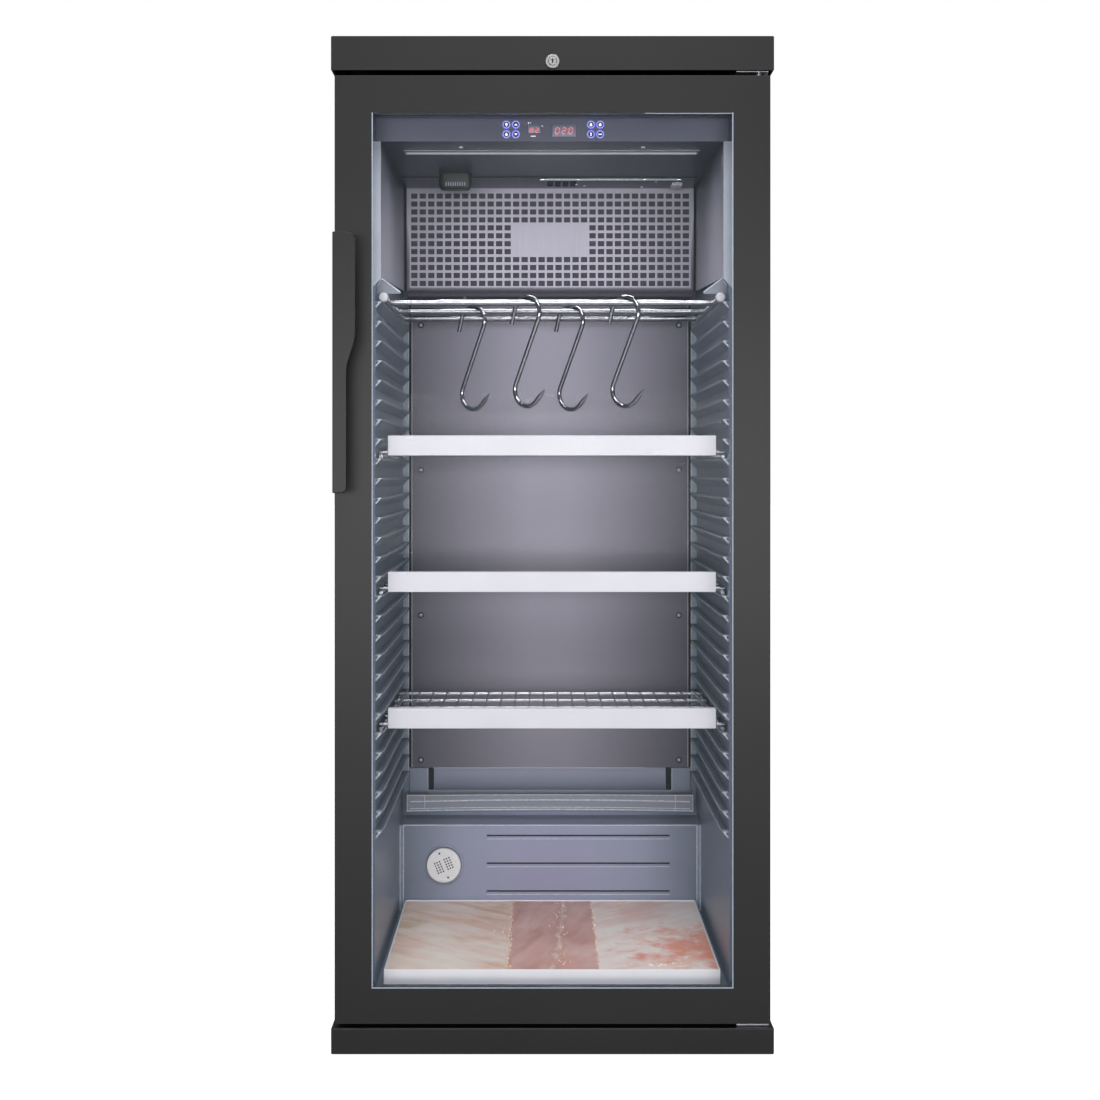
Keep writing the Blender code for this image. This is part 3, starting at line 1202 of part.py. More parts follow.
def hook_path():
    """The hook's line in its own plane, round (0, 0), the middle of its upper bend."""
    drop = HOOK_HEIGHT - 2 * (HOOK_BEND + HOOK_RADIUS)
    lean = math.asin(2 * HOOK_BEND / drop)
    upper = [HOOK_START + (-lean - HOOK_START) * i / HOOK_ARC_POINTS for i in range(HOOK_ARC_POINTS + 1)]
    lower_start = math.pi - lean
    sweep = HOOK_END - lower_start
    lower = [lower_start + sweep * i / HOOK_ARC_POINTS for i in range(HOOK_ARC_POINTS + 1)]
    path = [Vector((HOOK_BEND * math.cos(a), HOOK_BEND * math.sin(a))) for a in upper]
    path.insert(0, path[0] + HOOK_FREE_END * Vector((math.sin(HOOK_START), -math.cos(HOOK_START))))
    path += [Vector((HOOK_BEND * math.cos(a), HOOK_BEND * math.sin(a) - drop)) for a in lower]
    rise = Vector((-math.sin(HOOK_END), math.cos(HOOK_END)))
    path.append(path[-1] + (HOOK_POINT - HOOK_TIP) * rise)
    path.append(path[-1] + HOOK_TIP * rise)
    lengths = [(b - a).length for a, b in zip(path, path[1:])]
    middles = [(a + b) / 2 for a, b in zip(path, path[1:])]
    balance = sum((m * n for m, n in zip(middles, lengths)), Vector((0, 0))) / sum(lengths)
    level = Matrix.Rotation(-math.atan2(balance.x, -balance.y), 2)
    return [level @ point for point in path]


hook_drop = HOOK_BEND - HOOK_RADIUS - RAIL_RADIUS - GAP
for number, (share, y) in enumerate(zip(HOOK_SHARES, HOOK_RAILS), 1):
    x = share * CHAMBER_HALF
    axis = joint_origin(f"hook_{number}_axis", (x, y, RAIL_Z))
    curve = bpy.data.curves.new(f"hook_{number}", "CURVE")
    curve.dimensions = "3D"
    curve.bevel_depth = HOOK_RADIUS
    curve.bevel_resolution = 1
    curve.use_fill_caps = True
    points = hook_path()
    spline = curve.splines.new("POLY")
    spline.points.add(len(points) - 1)
    for point, (along, z) in zip(spline.points, points):
        across, back = along * math.cos(HOOK_TURN), -along * math.sin(HOOK_TURN)
        point.co = (x + across, y + back, RAIL_Z - hook_drop + z, 1)
    spline.points[-1].radius = HOOK_TIP_SHARE
    hook = bpy.data.objects.new(f"hook_{number}", curve)
    bpy.context.scene.collection.objects.link(hook)
    dress(hook, STAINLESS, axis)

# Shelves: a welded wire deck on the ribs, and a white trim in front of it
SHELF_RIB_SHARES = (0.185, 0.444, 0.704)
DECK_ROD_RADIUS = 0.003
DECK_SIDE_SPACE = 0.005
DECK_REAR_SPACE = 0.033
DECK_HALF = CHAMBER_HALF - DECK_SIDE_SPACE
DECK_REAR = HUMP_FACE - DECK_REAR_SPACE
DECK_RODS = 5
DECK_WIRES = 22
DECK_WIRE_RADIUS = 0.0015
MIDDLE_ROD_DROP = 0.0006
TRIM_SIDE_SPACE = 0.0155
TRIM_SETBACK = 0.025
TRIM_HALF = CHAMBER_HALF - TRIM_SIDE_SPACE
TRIM_FRONT = BODY_FRONT + TRIM_SETBACK
DECK_WIRE_SPREAD = TRIM_HALF - WELD
TRIM_THICK = 0.003
TRIM_LEDGE = 0.012
TRIM_HEIGHT = 0.0284
TRIM_LIFT = 0.0045
DECK_FRONT = TRIM_FRONT + TRIM_THICK + WELD
for number, share in enumerate(SHELF_RIB_SHARES, 1):
    rib = round(share * (RIB_COUNT - 1))
    origin = joint_origin(f"shelf_{number}_slide", (0, TRIM_FRONT, rib_top(rib)))
    side_z = rib_top(rib) + GAP + DECK_ROD_RADIUS
    cross_z = side_z + 2 * DECK_ROD_RADIUS - WELD
    wire_z = cross_z + DECK_ROD_RADIUS + DECK_WIRE_RADIUS - WELD
    first_rod = DECK_FRONT + 2 * DECK_ROD_RADIUS
    last_rod = DECK_REAR - 2 * DECK_ROD_RADIUS
    bm = bmesh.new()
    for rod in range(DECK_RODS):
        y = first_rod + (last_rod - first_rod) * rod / (DECK_RODS - 1)
        rod_z = cross_z if rod in (0, DECK_RODS - 1) else cross_z - MIDDLE_ROD_DROP
        add_bar(bm, (-DECK_HALF, y, rod_z), (DECK_HALF, y, rod_z), DECK_ROD_RADIUS, WIRE_SIDES)
    deck = piece(f"shelf_{number}_deck", bm, CHROME, origin)
    bm = bmesh.new()
    for side in (-1, 1):
        x = side * DECK_HALF
        add_bar(bm, (x, DECK_FRONT, side_z), (x, DECK_REAR, side_z), DECK_ROD_RADIUS, WIRE_SIDES)
    shaped(deck, "UNION", bm)
    bm = bmesh.new()
    for wire in range(DECK_WIRES):
        x = DECK_WIRE_SPREAD * (2 * wire / (DECK_WIRES - 1) - 1) * (1 - DECK_WIRE_RADIUS / DECK_WIRE_SPREAD)
        add_bar(bm, (x, DECK_FRONT, wire_z), (x, DECK_REAR, wire_z), DECK_WIRE_RADIUS, 4)
    shaped(deck, "UNION", bm)
    trim_bottom = rib_top(rib) + TRIM_LIFT
    trim_top = trim_bottom + TRIM_HEIGHT
    trim_outline = (
        (TRIM_FRONT, trim_bottom),
        (TRIM_FRONT + TRIM_THICK, trim_bottom),
        (TRIM_FRONT + TRIM_THICK, trim_top - TRIM_THICK),
        (TRIM_FRONT + TRIM_LEDGE, trim_top - TRIM_THICK),
        (TRIM_FRONT + TRIM_LEDGE, trim_top),
        (TRIM_FRONT, trim_top),
    )
    bm = bmesh.new()
    add_prism(bm, trim_outline, "X", -TRIM_HALF, TRIM_HALF)
    piece(f"shelf_{number}_trim", bm, WHITE_PLASTIC, origin)

# Salt tray: a shallow white tray on the chamber's floor, filled with three salt blocks
TRAY_SIDE_SPACE = 0.010
TRAY_SETBACK = 0.020
TRAY_REAR_SPACE = 0.003
TRAY_HALF = CHAMBER_HALF - TRAY_SIDE_SPACE
TRAY_FRONT = BODY_FRONT + TRAY_SETBACK
TRAY_REAR = HUMP_FACE - TRAY_REAR_SPACE
TRAY_HEIGHT = 0.0215
TRAY_WALL = 0.0025
SALT_DROP = 0.0005
SALT_SPLIT_SHARES = (-0.2595, 0.2806)
tray_origin = joint_origin("salt_tray_slide", (0, TRAY_FRONT, CHAMBER_FLOOR))
tray_bottom = CHAMBER_FLOOR + GAP
bm = bmesh.new()
add_box(bm, (-TRAY_HALF, TRAY_FRONT, tray_bottom), (TRAY_HALF, TRAY_REAR, tray_bottom + TRAY_HEIGHT))
tray = piece("salt_tray", bm, WHITE_PLASTIC, tray_origin)
bm = bmesh.new()
add_box(
    bm,
    (-TRAY_HALF + TRAY_WALL, TRAY_FRONT + TRAY_WALL, tray_bottom + TRAY_WALL),
    (TRAY_HALF - TRAY_WALL, TRAY_REAR - TRAY_WALL, tray_bottom + TRAY_HEIGHT + OVERRUN),
)
shaped(tray, "DIFFERENCE", bm)
salt_splits = [share * TRAY_HALF for share in SALT_SPLIT_SHARES]
salt_edges = (-TRAY_HALF + TRAY_WALL, *salt_splits, TRAY_HALF - TRAY_WALL)
for name, left, right in zip(("left", "middle", "right"), salt_edges, salt_edges[1:]):
    bm = bmesh.new()
    add_box(
        bm,
        (left + GAP, TRAY_FRONT + TRAY_WALL + GAP, tray_bottom + TRAY_WALL + GAP),
        (right - GAP, TRAY_REAR - TRAY_WALL - GAP, tray_bottom + TRAY_HEIGHT - SALT_DROP),
    )
    piece(f"salt_block_{name}", bm, SALT, tray_origin)

# Compressor: an oval pot on a foot bar, with four rubber grommets on the base plate
COMPRESSOR_SIDE_SPACE = 0.176
COMPRESSOR_SETBACK = 0.010
COMPRESSOR_X = SHELL_HALF - COMPRESSOR_SIDE_SPACE
COMPRESSOR_Y = BODY_REAR - COMPRESSOR_SETBACK
POT_HALF_DEPTH = 0.062
POT_WIDTH_SHARE = 1.25
POT_HEIGHT = 0.112
POT_SEAM = 0.045
POT_SEAM_LIP = 0.004
GROMMET_RADIUS = 0.009
GROMMET_HEIGHT = 0.012
FOOT_BAR_HALF_WIDTH = 0.095
FOOT_BAR_HALF_DEPTH = 0.050
FOOT_BAR_THICK = 0.003
bm = bmesh.new()
plate_seat = PLINTH_TOP + GAP
bar_bottom = plate_seat + GROMMET_HEIGHT
bar_top = bar_bottom + FOOT_BAR_THICK
add_box(
    bm,
    (COMPRESSOR_X - FOOT_BAR_HALF_WIDTH, COMPRESSOR_Y - FOOT_BAR_HALF_DEPTH, bar_bottom),
    (COMPRESSOR_X + FOOT_BAR_HALF_WIDTH, COMPRESSOR_Y + FOOT_BAR_HALF_DEPTH, bar_top),
)
compressor = piece("compressor", bm, BLACK_METAL)
bm = bmesh.new()
pot_inner, pot_top = POT_HALF_DEPTH - POT_SEAM_LIP, bar_top + POT_HEIGHT
pot_profile = (
    (0, bar_top - WELD),
    (pot_inner, bar_top - WELD),
    (pot_inner, bar_top + POT_SEAM),
    (POT_HALF_DEPTH, bar_top + POT_SEAM),
    (POT_HALF_DEPTH, bar_top + POT_SEAM + POT_SEAM_LIP),
    (pot_inner, bar_top + POT_SEAM + POT_SEAM_LIP),
    (pot_inner, pot_top - POT_HEIGHT / 4),
    (pot_inner * math.cos(math.pi / 6), pot_top - POT_HEIGHT / 10),
    (pot_inner * math.cos(math.pi / 3), pot_top),
    (0, pot_top),
)
add_turned(bm, pot_profile, (0, 0, 0), Z_AXIS, 2 * ROUND_SIDES)
bmesh.ops.scale(bm, vec=(POT_WIDTH_SHARE, 1, 1), verts=bm.verts)
bmesh.ops.translate(bm, vec=(COMPRESSOR_X, COMPRESSOR_Y, 0), verts=bm.verts)
shaped(compressor, "UNION", bm)
bm = bmesh.new()
for side in (-1, 1):
    for end in (-1, 1):
        x = COMPRESSOR_X + side * (FOOT_BAR_HALF_WIDTH - GROMMET_RADIUS - WELD)
        y = COMPRESSOR_Y + end * (FOOT_BAR_HALF_DEPTH - GROMMET_RADIUS - WELD)
        add_bar(bm, (x, y, plate_seat), (x, y, bar_bottom + WELD), GROMMET_RADIUS, ROUND_SIDES // 2)
shaped(compressor, "UNION", bm)

# Condenser bracket: two strips behind the rear panel, on stand-offs, with bars and wall spacers
COIL_WRAP_SPACE = 0.056
BRACKET_INSET = 0.035
BRACKET_LIFT = 0.0624
BRACKET_DROP = 0.1095
COIL_HALF_WIDTH = SHELL_HALF - COIL_WRAP_SPACE
BRACKET_X = COIL_HALF_WIDTH - BRACKET_INSET
BRACKET_WIDTH = 0.020
BRACKET_SHEET = 0.002
BRACKET_BOTTOM = BAY_TOP + BRACKET_LIFT
BRACKET_TOP = BODY_TOP - BRACKET_DROP
STANDOFF_HEIGHT = 0.015
TUBE_RADIUS = 0.0025
WALL_SPACE = 0.015
TUBE_Y = REAR - WALL_SPACE
strip_back = TUBE_Y - TUBE_RADIUS - GAP
strip_front = strip_back - BRACKET_SHEET
panel_back = BODY_REAR + GAP + SHEET
bm = bmesh.new()
bracket_half = BRACKET_X + BRACKET_WIDTH / 2
add_box(bm, (-bracket_half, strip_front, BRACKET_BOTTOM), (bracket_half, strip_back, BRACKET_TOP))
bracket = piece("condenser_bracket", bm, BLACK_METAL)
bm = bmesh.new()
window_half = BRACKET_X - BRACKET_WIDTH / 2
add_box(
    bm,
    (-window_half, strip_front - OVERRUN, BRACKET_BOTTOM + BRACKET_WIDTH),
    (window_half, strip_back + OVERRUN, BRACKET_TOP - BRACKET_WIDTH),
)
shaped(bracket, "DIFFERENCE", bm)
bm = bmesh.new()
bracket_middle = (BRACKET_BOTTOM + BRACKET_TOP) / 2
for side in (-1, 1):
    left, right = side * BRACKET_X - BRACKET_WIDTH / 4, side * BRACKET_X + BRACKET_WIDTH / 4
    for z in (BRACKET_BOTTOM, bracket_middle, BRACKET_TOP - STANDOFF_HEIGHT):
        rear = strip_front + WELD if z == bracket_middle else REAR
        add_box(bm, (left, panel_back + GAP, z + WELD), (right, rear, z + STANDOFF_HEIGHT - WELD))
shaped(bracket, "UNION", bm)

# Condenser coil: one tube that winds across the back, and runs down to the compressor
COIL_RUN_PITCH = 0.080
COIL_END_SPACE = 0.050
COIL_FIRST_RUN = BRACKET_BOTTOM + COIL_END_SPACE
COIL_RUNS = int((BRACKET_TOP - COIL_END_SPACE - COIL_FIRST_RUN) / COIL_RUN_PITCH) + 1
COIL_BEND = 0.020
COIL_BEND_STEPS = 3
DISCHARGE_LIFT = 0.0317
DISCHARGE_Z = bar_top + DISCHARGE_LIFT


def rounded(corners, radius):
    """A path through the corners, each one cut by a curved bend."""
    path = [corners[0]]
    for before, corner, after in zip(corners, corners[1:], corners[2:]):
        start = corner + (before - corner).normalized() * radius
        end = corner + (after - corner).normalized() * radius
        for i in range(COIL_BEND_STEPS + 1):
            t = i / COIL_BEND_STEPS
            path.append(start * (1 - t) ** 2 + corner * 2 * t * (1 - t) + end * t**2)
    return path + [corners[-1]]


compressor_side = COMPRESSOR_X + pot_inner * POT_WIDTH_SHARE + GAP
corners = [
    Vector((compressor_side, COMPRESSOR_Y, DISCHARGE_Z)),
    Vector((COIL_HALF_WIDTH, COMPRESSOR_Y, DISCHARGE_Z)),
    Vector((COIL_HALF_WIDTH, TUBE_Y, DISCHARGE_Z)),
    Vector((COIL_HALF_WIDTH, TUBE_Y, COIL_FIRST_RUN)),
]
for run in range(COIL_RUNS):
    z = COIL_FIRST_RUN + run * COIL_RUN_PITCH
    start_side = -1 if run % 2 else 1
    if run:
        corners.append(Vector((start_side * COIL_HALF_WIDTH, TUBE_Y, z)))
    corners.append(Vector((-start_side * COIL_HALF_WIDTH, TUBE_Y, z)))
corners.append(Vector((corners[-1].x, panel_back + GAP, corners[-1].z)))
curve = bpy.data.curves.new("condenser_coil", "CURVE")
curve.dimensions = "3D"
curve.bevel_depth = TUBE_RADIUS
curve.bevel_resolution = 1
curve.use_fill_caps = True
path = rounded(corners, COIL_BEND)
spline = curve.splines.new("POLY")
spline.points.add(len(path) - 1)
for point, place in zip(spline.points, path):
    point.co = (*place, 1)
coil = bpy.data.objects.new("condenser_coil", curve)
bpy.context.scene.collection.objects.link(coil)
dress(coil, BLACK_METAL, None)

# Drain pan: an open tray beside the compressor
PAN_SIDE_SPACE = 0.026
PAN_COMPRESSOR_SPACE = 0.020
PAN_FRONT_SPACE = 0.010
PAN_REAR_SPACE = 0.030
PAN_LEFT = -SHELL_HALF + PAN_SIDE_SPACE
PAN_RIGHT = COMPRESSOR_X - FOOT_BAR_HALF_WIDTH - PAN_COMPRESSOR_SPACE
PAN_FRONT = BAY_FRONT + PAN_FRONT_SPACE
PAN_REAR = PLATE_REAR - PAN_REAR_SPACE
PAN_HEIGHT = 0.026
PAN_WALL = 0.002
bm = bmesh.new()
add_box(bm, (PAN_LEFT, PAN_FRONT, plate_seat), (PAN_RIGHT, PAN_REAR, plate_seat + PAN_HEIGHT))
pan = piece("drain_pan", bm, DARK_PLASTIC)
bm = bmesh.new()
add_box(
    bm,
    (PAN_LEFT + PAN_WALL, PAN_FRONT + PAN_WALL, plate_seat + PAN_WALL),
    (PAN_RIGHT - PAN_WALL, PAN_REAR - PAN_WALL, plate_seat + PAN_HEIGHT + OVERRUN),
)
shaped(pan, "DIFFERENCE", bm)

# Power inlet: a socket housing on the rear panel, under the condenser
INLET_X = -0.130
INLET_HALF_WIDTH = 0.025
INLET_LIFT = 0.0054
INLET_BOTTOM = BAY_TOP + INLET_LIFT
INLET_HEIGHT = 0.032
INLET_DEPTH = 0.024
SOCKET_HALF_WIDTH = 0.0125
SOCKET_HEIGHT = 0.017
SOCKET_DEPTH = 0.016
bm = bmesh.new()
inlet_front = panel_back + GAP
inlet_rear = inlet_front + INLET_DEPTH
add_box(
    bm,
    (INLET_X - INLET_HALF_WIDTH, inlet_front, INLET_BOTTOM),
    (INLET_X + INLET_HALF_WIDTH, inlet_rear, INLET_BOTTOM + INLET_HEIGHT),
)
inlet = piece("power_inlet", bm, DARK_PLASTIC)
bm = bmesh.new()
inlet_middle = INLET_BOTTOM + INLET_HEIGHT / 2
add_box(
    bm,
    (INLET_X - SOCKET_HALF_WIDTH, inlet_rear - SOCKET_DEPTH, inlet_middle - SOCKET_HEIGHT / 2),
    (INLET_X + SOCKET_HALF_WIDTH, inlet_rear + OVERRUN, inlet_middle + SOCKET_HEIGHT / 2),
)
shaped(inlet, "DIFFERENCE", bm)
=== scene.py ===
"""The looks of an upright dry aging cabinet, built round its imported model.

Metres, +Z up, seen from the front along +Y. Every mesh here is made in the model's own place.
"""

import math
import random

import bmesh
import bpy
from mathutils import Matrix, Vector, noise


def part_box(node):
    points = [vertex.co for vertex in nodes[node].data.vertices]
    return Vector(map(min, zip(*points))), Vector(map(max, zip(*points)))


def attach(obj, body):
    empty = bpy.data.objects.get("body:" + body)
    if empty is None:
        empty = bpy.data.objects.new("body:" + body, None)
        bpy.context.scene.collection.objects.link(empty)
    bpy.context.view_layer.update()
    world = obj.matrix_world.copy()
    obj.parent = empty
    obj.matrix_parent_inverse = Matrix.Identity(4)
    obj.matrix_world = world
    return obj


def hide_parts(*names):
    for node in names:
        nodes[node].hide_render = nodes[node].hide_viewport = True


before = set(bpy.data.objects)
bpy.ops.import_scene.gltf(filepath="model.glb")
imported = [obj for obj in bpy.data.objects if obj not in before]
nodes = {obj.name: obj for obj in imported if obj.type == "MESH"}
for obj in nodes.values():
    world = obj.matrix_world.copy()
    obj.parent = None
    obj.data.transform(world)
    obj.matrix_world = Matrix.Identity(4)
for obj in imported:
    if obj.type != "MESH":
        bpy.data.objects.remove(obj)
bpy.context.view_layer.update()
scene = bpy.context.scene
scene.view_settings.view_transform = "Standard"

# Camera: level, 1.9 m in front of the door and 0.8 m above the floor, as the photograph was taken. Its
# lens is shifted, so that the cabinet's uprights stay upright in the picture.
IMAGE_SIDE = 1100
LENS_PIXELS = 1404
VANISHING_POINT = (539, 470.5)
SENSOR = 36
camera_data = bpy.data.cameras.new("photograph")
camera_data.sensor_width = SENSOR
camera_data.lens = SENSOR * LENS_PIXELS / IMAGE_SIDE
camera_data.shift_x = (IMAGE_SIDE / 2 - VANISHING_POINT[0]) / IMAGE_SIDE
camera_data.shift_y = (VANISHING_POINT[1] - IMAGE_SIDE / 2) / IMAGE_SIDE
camera_data.dof.use_dof = False
camera = bpy.data.objects.new("photograph", camera_data)
camera.location = (-0.0183, -2.180, 0.793)
camera.rotation_euler = (math.pi / 2, 0, 0)
scene.collection.objects.link(camera)
scene.camera = camera


# Outer shell and door skin: sheet steel, bent, then powder coated in a dark charcoal. The coat melts
# on in an oven, so it lies like fine orange peel and rounds every edge a little.
def linear(code):
    """A colour written as sRGB hex, as the linear values that a shader takes."""
    values = [int(code[i:i + 2], 16) / 255 for i in (1, 3, 5)]
    return tuple(v / 12.92 if v <= 0.04045 else ((v + 0.055) / 1.055) ** 2.4 for v in values) + (1,)


def finish(name, **values):
    """A new material with these values on its main shader."""
    made = bpy.data.materials.new(name)
    made.use_nodes = True
    shader = made.node_tree.nodes["Principled BSDF"]
    for socket, value in values.items():
        shader.inputs[socket.replace("_", " ")].default_value = value
    return made


def add_node(material, kind, settings=None, joins=None):
    """Adds a node to a material, with its settings, and joins it to outputs, or to nodes' first ones."""
    node = material.node_tree.nodes.new("ShaderNode" + kind)
    for key, value in (settings or {}).items():
        if key == "stops":
            ramp = node.color_ramp.elements
            while len(ramp) < len(value):
                ramp.new(0.5)
            for stop, (place, code) in zip(ramp, value):
                stop.position = place
                stop.color = linear(code)
        elif isinstance(key, int) or key in node.inputs:
            node.inputs[key].default_value = value
        else:
            setattr(node, key, value)
    for key, source in (joins or {}).items():
        material.node_tree.links.new(first_output(source), node.inputs[key])
    return node


def first_output(source):
    """The output that a join starts from: the one given, or the first that a node offers."""
    return next(one for one in source.outputs if one.enabled) if hasattr(source, "outputs") else source


def feed(material, **sources):
    """Joins outputs, or nodes' first ones, to the inputs of the material's main shader."""
    shader = material.node_tree.nodes["Principled BSDF"]
    for socket, source in sources.items():
        material.node_tree.links.new(first_output(source), shader.inputs[socket.replace("_", " ")])


def lay(material, size, settings=None, tones=None, gloss=None, relief=None, kind="TexNoise", by="Fac"):
    """Lays a pattern over a material and returns it. Its features have one size, or one for each axis.

    It runs the colour through tones, two colours or placed stops, and the roughness through gloss. It
    raises the surface by relief, a strength and a height.
    """
    place = add_node(material, "TexCoord").outputs["Object"]
    if isinstance(size, tuple):
        place = add_node(material, "Mapping", {"Scale": [1 / one for one in size]}, {"Vector": place})
        size = 1
    pattern = add_node(material, kind, {"Scale": 1 / size, **(settings or {})}, {"Vector": place}).outputs[by]
    if tones:
        stops = tones if isinstance(tones[0], tuple) else tuple(zip((0.3, 0.7), tones))
        feed(material, Base_Color=add_node(material, "ValToRGB", {"stops": stops}, {"Fac": pattern}))
    if gloss:
        limits = {"To Min": gloss[0], "To Max": gloss[1]}
        feed(material, Roughness=add_node(material, "MapRange", limits, {"Value": pattern}))
    if relief:
        rise = {"Strength": relief[0], "Distance": relief[1]}
        feed(material, Normal=add_node(material, "Bump", rise, {"Height": pattern}))
    return pattern


EDGE_ANGLE = 0.6


def round_edges(piece, width, segments=2, angle=EDGE_ANGLE):
    """Rounds a piece's edges that turn by more than this angle."""
    rounded = piece.modifiers.new("rounded edges", "BEVEL")
    rounded.width = width
    rounded.segments = segments
    rounded.limit_method = "ANGLE"
    rounded.angle_limit = angle


def ease(name, material, edge=0.0, segments=2):
    """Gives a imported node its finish, and rounds its sharp edges as the maker's tool leaves them."""
    node = nodes[name]
    node.material_slots[0].material = material
    node.data.shade_smooth()
    node.modifiers.new("joined corners", "WELD").merge_threshold = 1e-5
    whole = node.modifiers.new("whole faces", "DECIMATE")
    whole.decimate_type = "DISSOLVE"
    whole.angle_limit = 0.01
    if edge:
        round_edges(node, edge, segments)
    node.modifiers.new("level faces", "WEIGHTED_NORMAL").weight = 80


PEEL = 0.0016
CLOUD = 0.35
SHEET_EDGE = 0.0012
powder_coat = finish("powder coated steel", Roughness=0.43, IOR=1.5, Specular_IOR_Level=0.37)
lay(powder_coat, CLOUD, {"Detail": 3}, ((0.35, "#101011"), (0.65, "#141415")), (0.39, 0.46))
lay(powder_coat, PEEL, relief=(0.25, 0.0002))
ease("outer_shell", powder_coat, SHEET_EDGE)
ease("door_frame", powder_coat, SHEET_EDGE)

# Top lid, plinth and door handle: the same charcoal in moulded and cast parts, so their edges are
# rounder than those of the sheet. The plinth stands a little darker, in the floor's shade.
MOULD_EDGE = 0.0018
ease("top_lid", powder_coat, MOULD_EDGE, 3)
ease("plinth", powder_coat, MOULD_EDGE, 3)
ease("door_handle", powder_coat, 0.0014, 3)

# Feet and base plate: rubber-soled levelling feet on a zinc plated steel plate. Zinc shows pale
# crystals a few millimetres wide, and the rubber is black, dull and finely grained.
SPANGLE = 0.006
galvanised = finish("galvanised steel", Metallic=0.85, Roughness=0.45)
lay(galvanised, SPANGLE, None, ((0.0, "#8b8f92"), (1.0, "#a7abae")), kind="TexVoronoi", by="Color")
lay(galvanised, SPANGLE, gloss=(0.38, 0.55), kind="TexVoronoi", by="Distance")
rubber = finish("moulded rubber", Roughness=0.8, IOR=1.52)
lay(rubber, 0.0008, {"Detail": 3}, ("#141415", "#1d1d1f"), relief=(0.3, 0.0002))
ease("compressor_plate", galvanised, 0.0006)
ease("rear_panel", galvanised, 0.0005)
ease("machine_bay_panel", galvanised, 0.0005)
for corner in ("front_left", "front_right", "rear_left", "rear_right"):
    ease(f"foot_{corner}", rubber, 0.0012)

# Insulation: polyurethane foam, poured between the shell and the liner, where it sets pale yellow and
# closes round both. It is hidden once the cabinet is whole.
FOAM_CELL = 0.0015
foam = finish("polyurethane foam", Roughness=0.9)
foam_tones = ((0.0, "#c9b77c"), (0.8, "#e2d6a6"))
lay(foam, FOAM_CELL, None, foam_tones, relief=(0.5, 0.0005), kind="TexVoronoi", by="Distance")
nodes["insulation_foam"].material_slots[0].material = foam


# Inner liner: one sheet of polystyrene, drawn by vacuum over a mould with 28 ribs on each side. The draw
# leaves crisp edges and a faint satin. Its colour is painted darker and greyer towards the side walls, a
# painted shade.
def way_along(material, axis, start, end, most=1.0):
    """How far a point lies from start to end along an axis, which X counts from the middle outwards."""
    place = add_node(material, "TexCoord").outputs["Object"]
    way = add_node(material, "SeparateXYZ", None, {"Vector": place}).outputs[axis]
    if axis == "X":
        way = add_node(material, "Math", {"operation": "ABSOLUTE"}, {0: way})
    limits = {"From Min": start, "From Max": end, "To Max": most}
    return add_node(material, "MapRange", limits, {"Value": way})


def grade(material, way, pattern, unevenness, tones):
    """The tones along a way, made uneven by a pattern."""
    joins = {0: pattern, 2: way}
    mottle = add_node(material, "Math", {"operation": "MULTIPLY_ADD", 1: unevenness}, joins)
    return add_node(material, "ValToRGB", {"stops": tones}, {"Fac": mottle})


liner_plastic = finish("vacuum formed polystyrene", Roughness=0.34, IOR=1.59)
cloud = lay(liner_plastic, 0.12, {"Detail": 4}, gloss=(0.28, 0.4))
lay(liner_plastic, 0.0022, relief=(0.1, 0.0002))
# Painted shade: the colour darkens towards the side walls.
liner_shade_tones = ((0.0, "#9a9bb9"), (0.6, "#969cb5"), (1.0, "#788394"))
wall_shade = way_along(liner_plastic, "X", 0.04, 0.25)
feed(liner_plastic, Base_Color=grade(liner_plastic, wall_shade, cloud, 0.12, liner_shade_tones))
ease("inner_liner", liner_plastic, 0.0007)


# Rib ends and corner facets: each rib's nose is a pale triangle and each rear corner a lighter facet, painted
# highlights where the plastic catches the light. Pale lines along the ribs' inner edges and the facets' edges
# are painted highlights too.
def fit(name, bm, material, body, slot, *stands_for, edge=0.0, sharp=EDGE_ANGLE):
    """Makes a piece from its mesh, gives it its finish, and fixes it to the body that carries it."""
    bmesh.ops.recalc_face_normals(bm, faces=bm.faces)
    mesh = bpy.data.meshes.new(name)
    bm.to_mesh(mesh)
    bm.free()
    mesh.shade_smooth()
    if not edge:
        mesh.set_sharp_from_angle(angle=sharp)
    for one in material if isinstance(material, tuple) else (material,):
        mesh.materials.append(one)
    piece = bpy.data.objects.new(name, mesh)
    scene.collection.objects.link(piece)
    if edge:
        round_edges(piece, edge, angle=sharp)
        piece.modifiers.new("level faces", "WEIGHTED_NORMAL").weight = 80
    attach(piece, body)
    if stands_for:
        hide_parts(*stands_for)
    return piece


def add_band(bm, rings, finish_number=0):
    """Faces all round between each ring of corners and the next."""
    for ring, following in zip(rings, rings[1:]):
        for i in range(len(ring)):
            j = (i + 1) % len(ring)
            bm.faces.new((ring[i], ring[j], following[j], following[i])).material_index = finish_number


def add_plate(bm, outline, front, thick, finish_number=0):
    """A flat piece with an outline of (x, z) points, from front backwards in y."""
    rings = [[bm.verts.new((x, y, z)) for x, z in outline] for y in (front, front + thick)]
    for face in (rings[0], rings[1][::-1]):
        bm.faces.new(face).material_index = finish_number
    add_band(bm, rings, finish_number)


def oblong(left, low, right, high):
    """The outline of an upright rectangle."""
    return [(left, low), (right, low), (right, high), (left, high)]


def add_block(bm, low, high, finish_number=0):
    """A square piece between two corners."""
    add_plate(bm, oblong(low[0], low[2], high[0], high[2]), low[1], high[1] - low[1], finish_number)


# Pale plastic for painted highlights: lines and facets that catch the light.
highlight_plastic = finish("polystyrene painted with highlights", Roughness=0.22, IOR=1.59)
lay(highlight_plastic, 0.004, {"Detail": 3}, ("#b4bccb", "#dfe4ee"))
# Plain grey, lighter than the liner's sides: on the rear corner facets and the sensor's slots it is a painted
# highlight.
facet_plastic = finish("plain grey polystyrene", Roughness=0.28, IOR=1.59)
lay(facet_plastic, 0.006, {"Detail": 3}, ("#7d8b9f", "#93a1b3"))
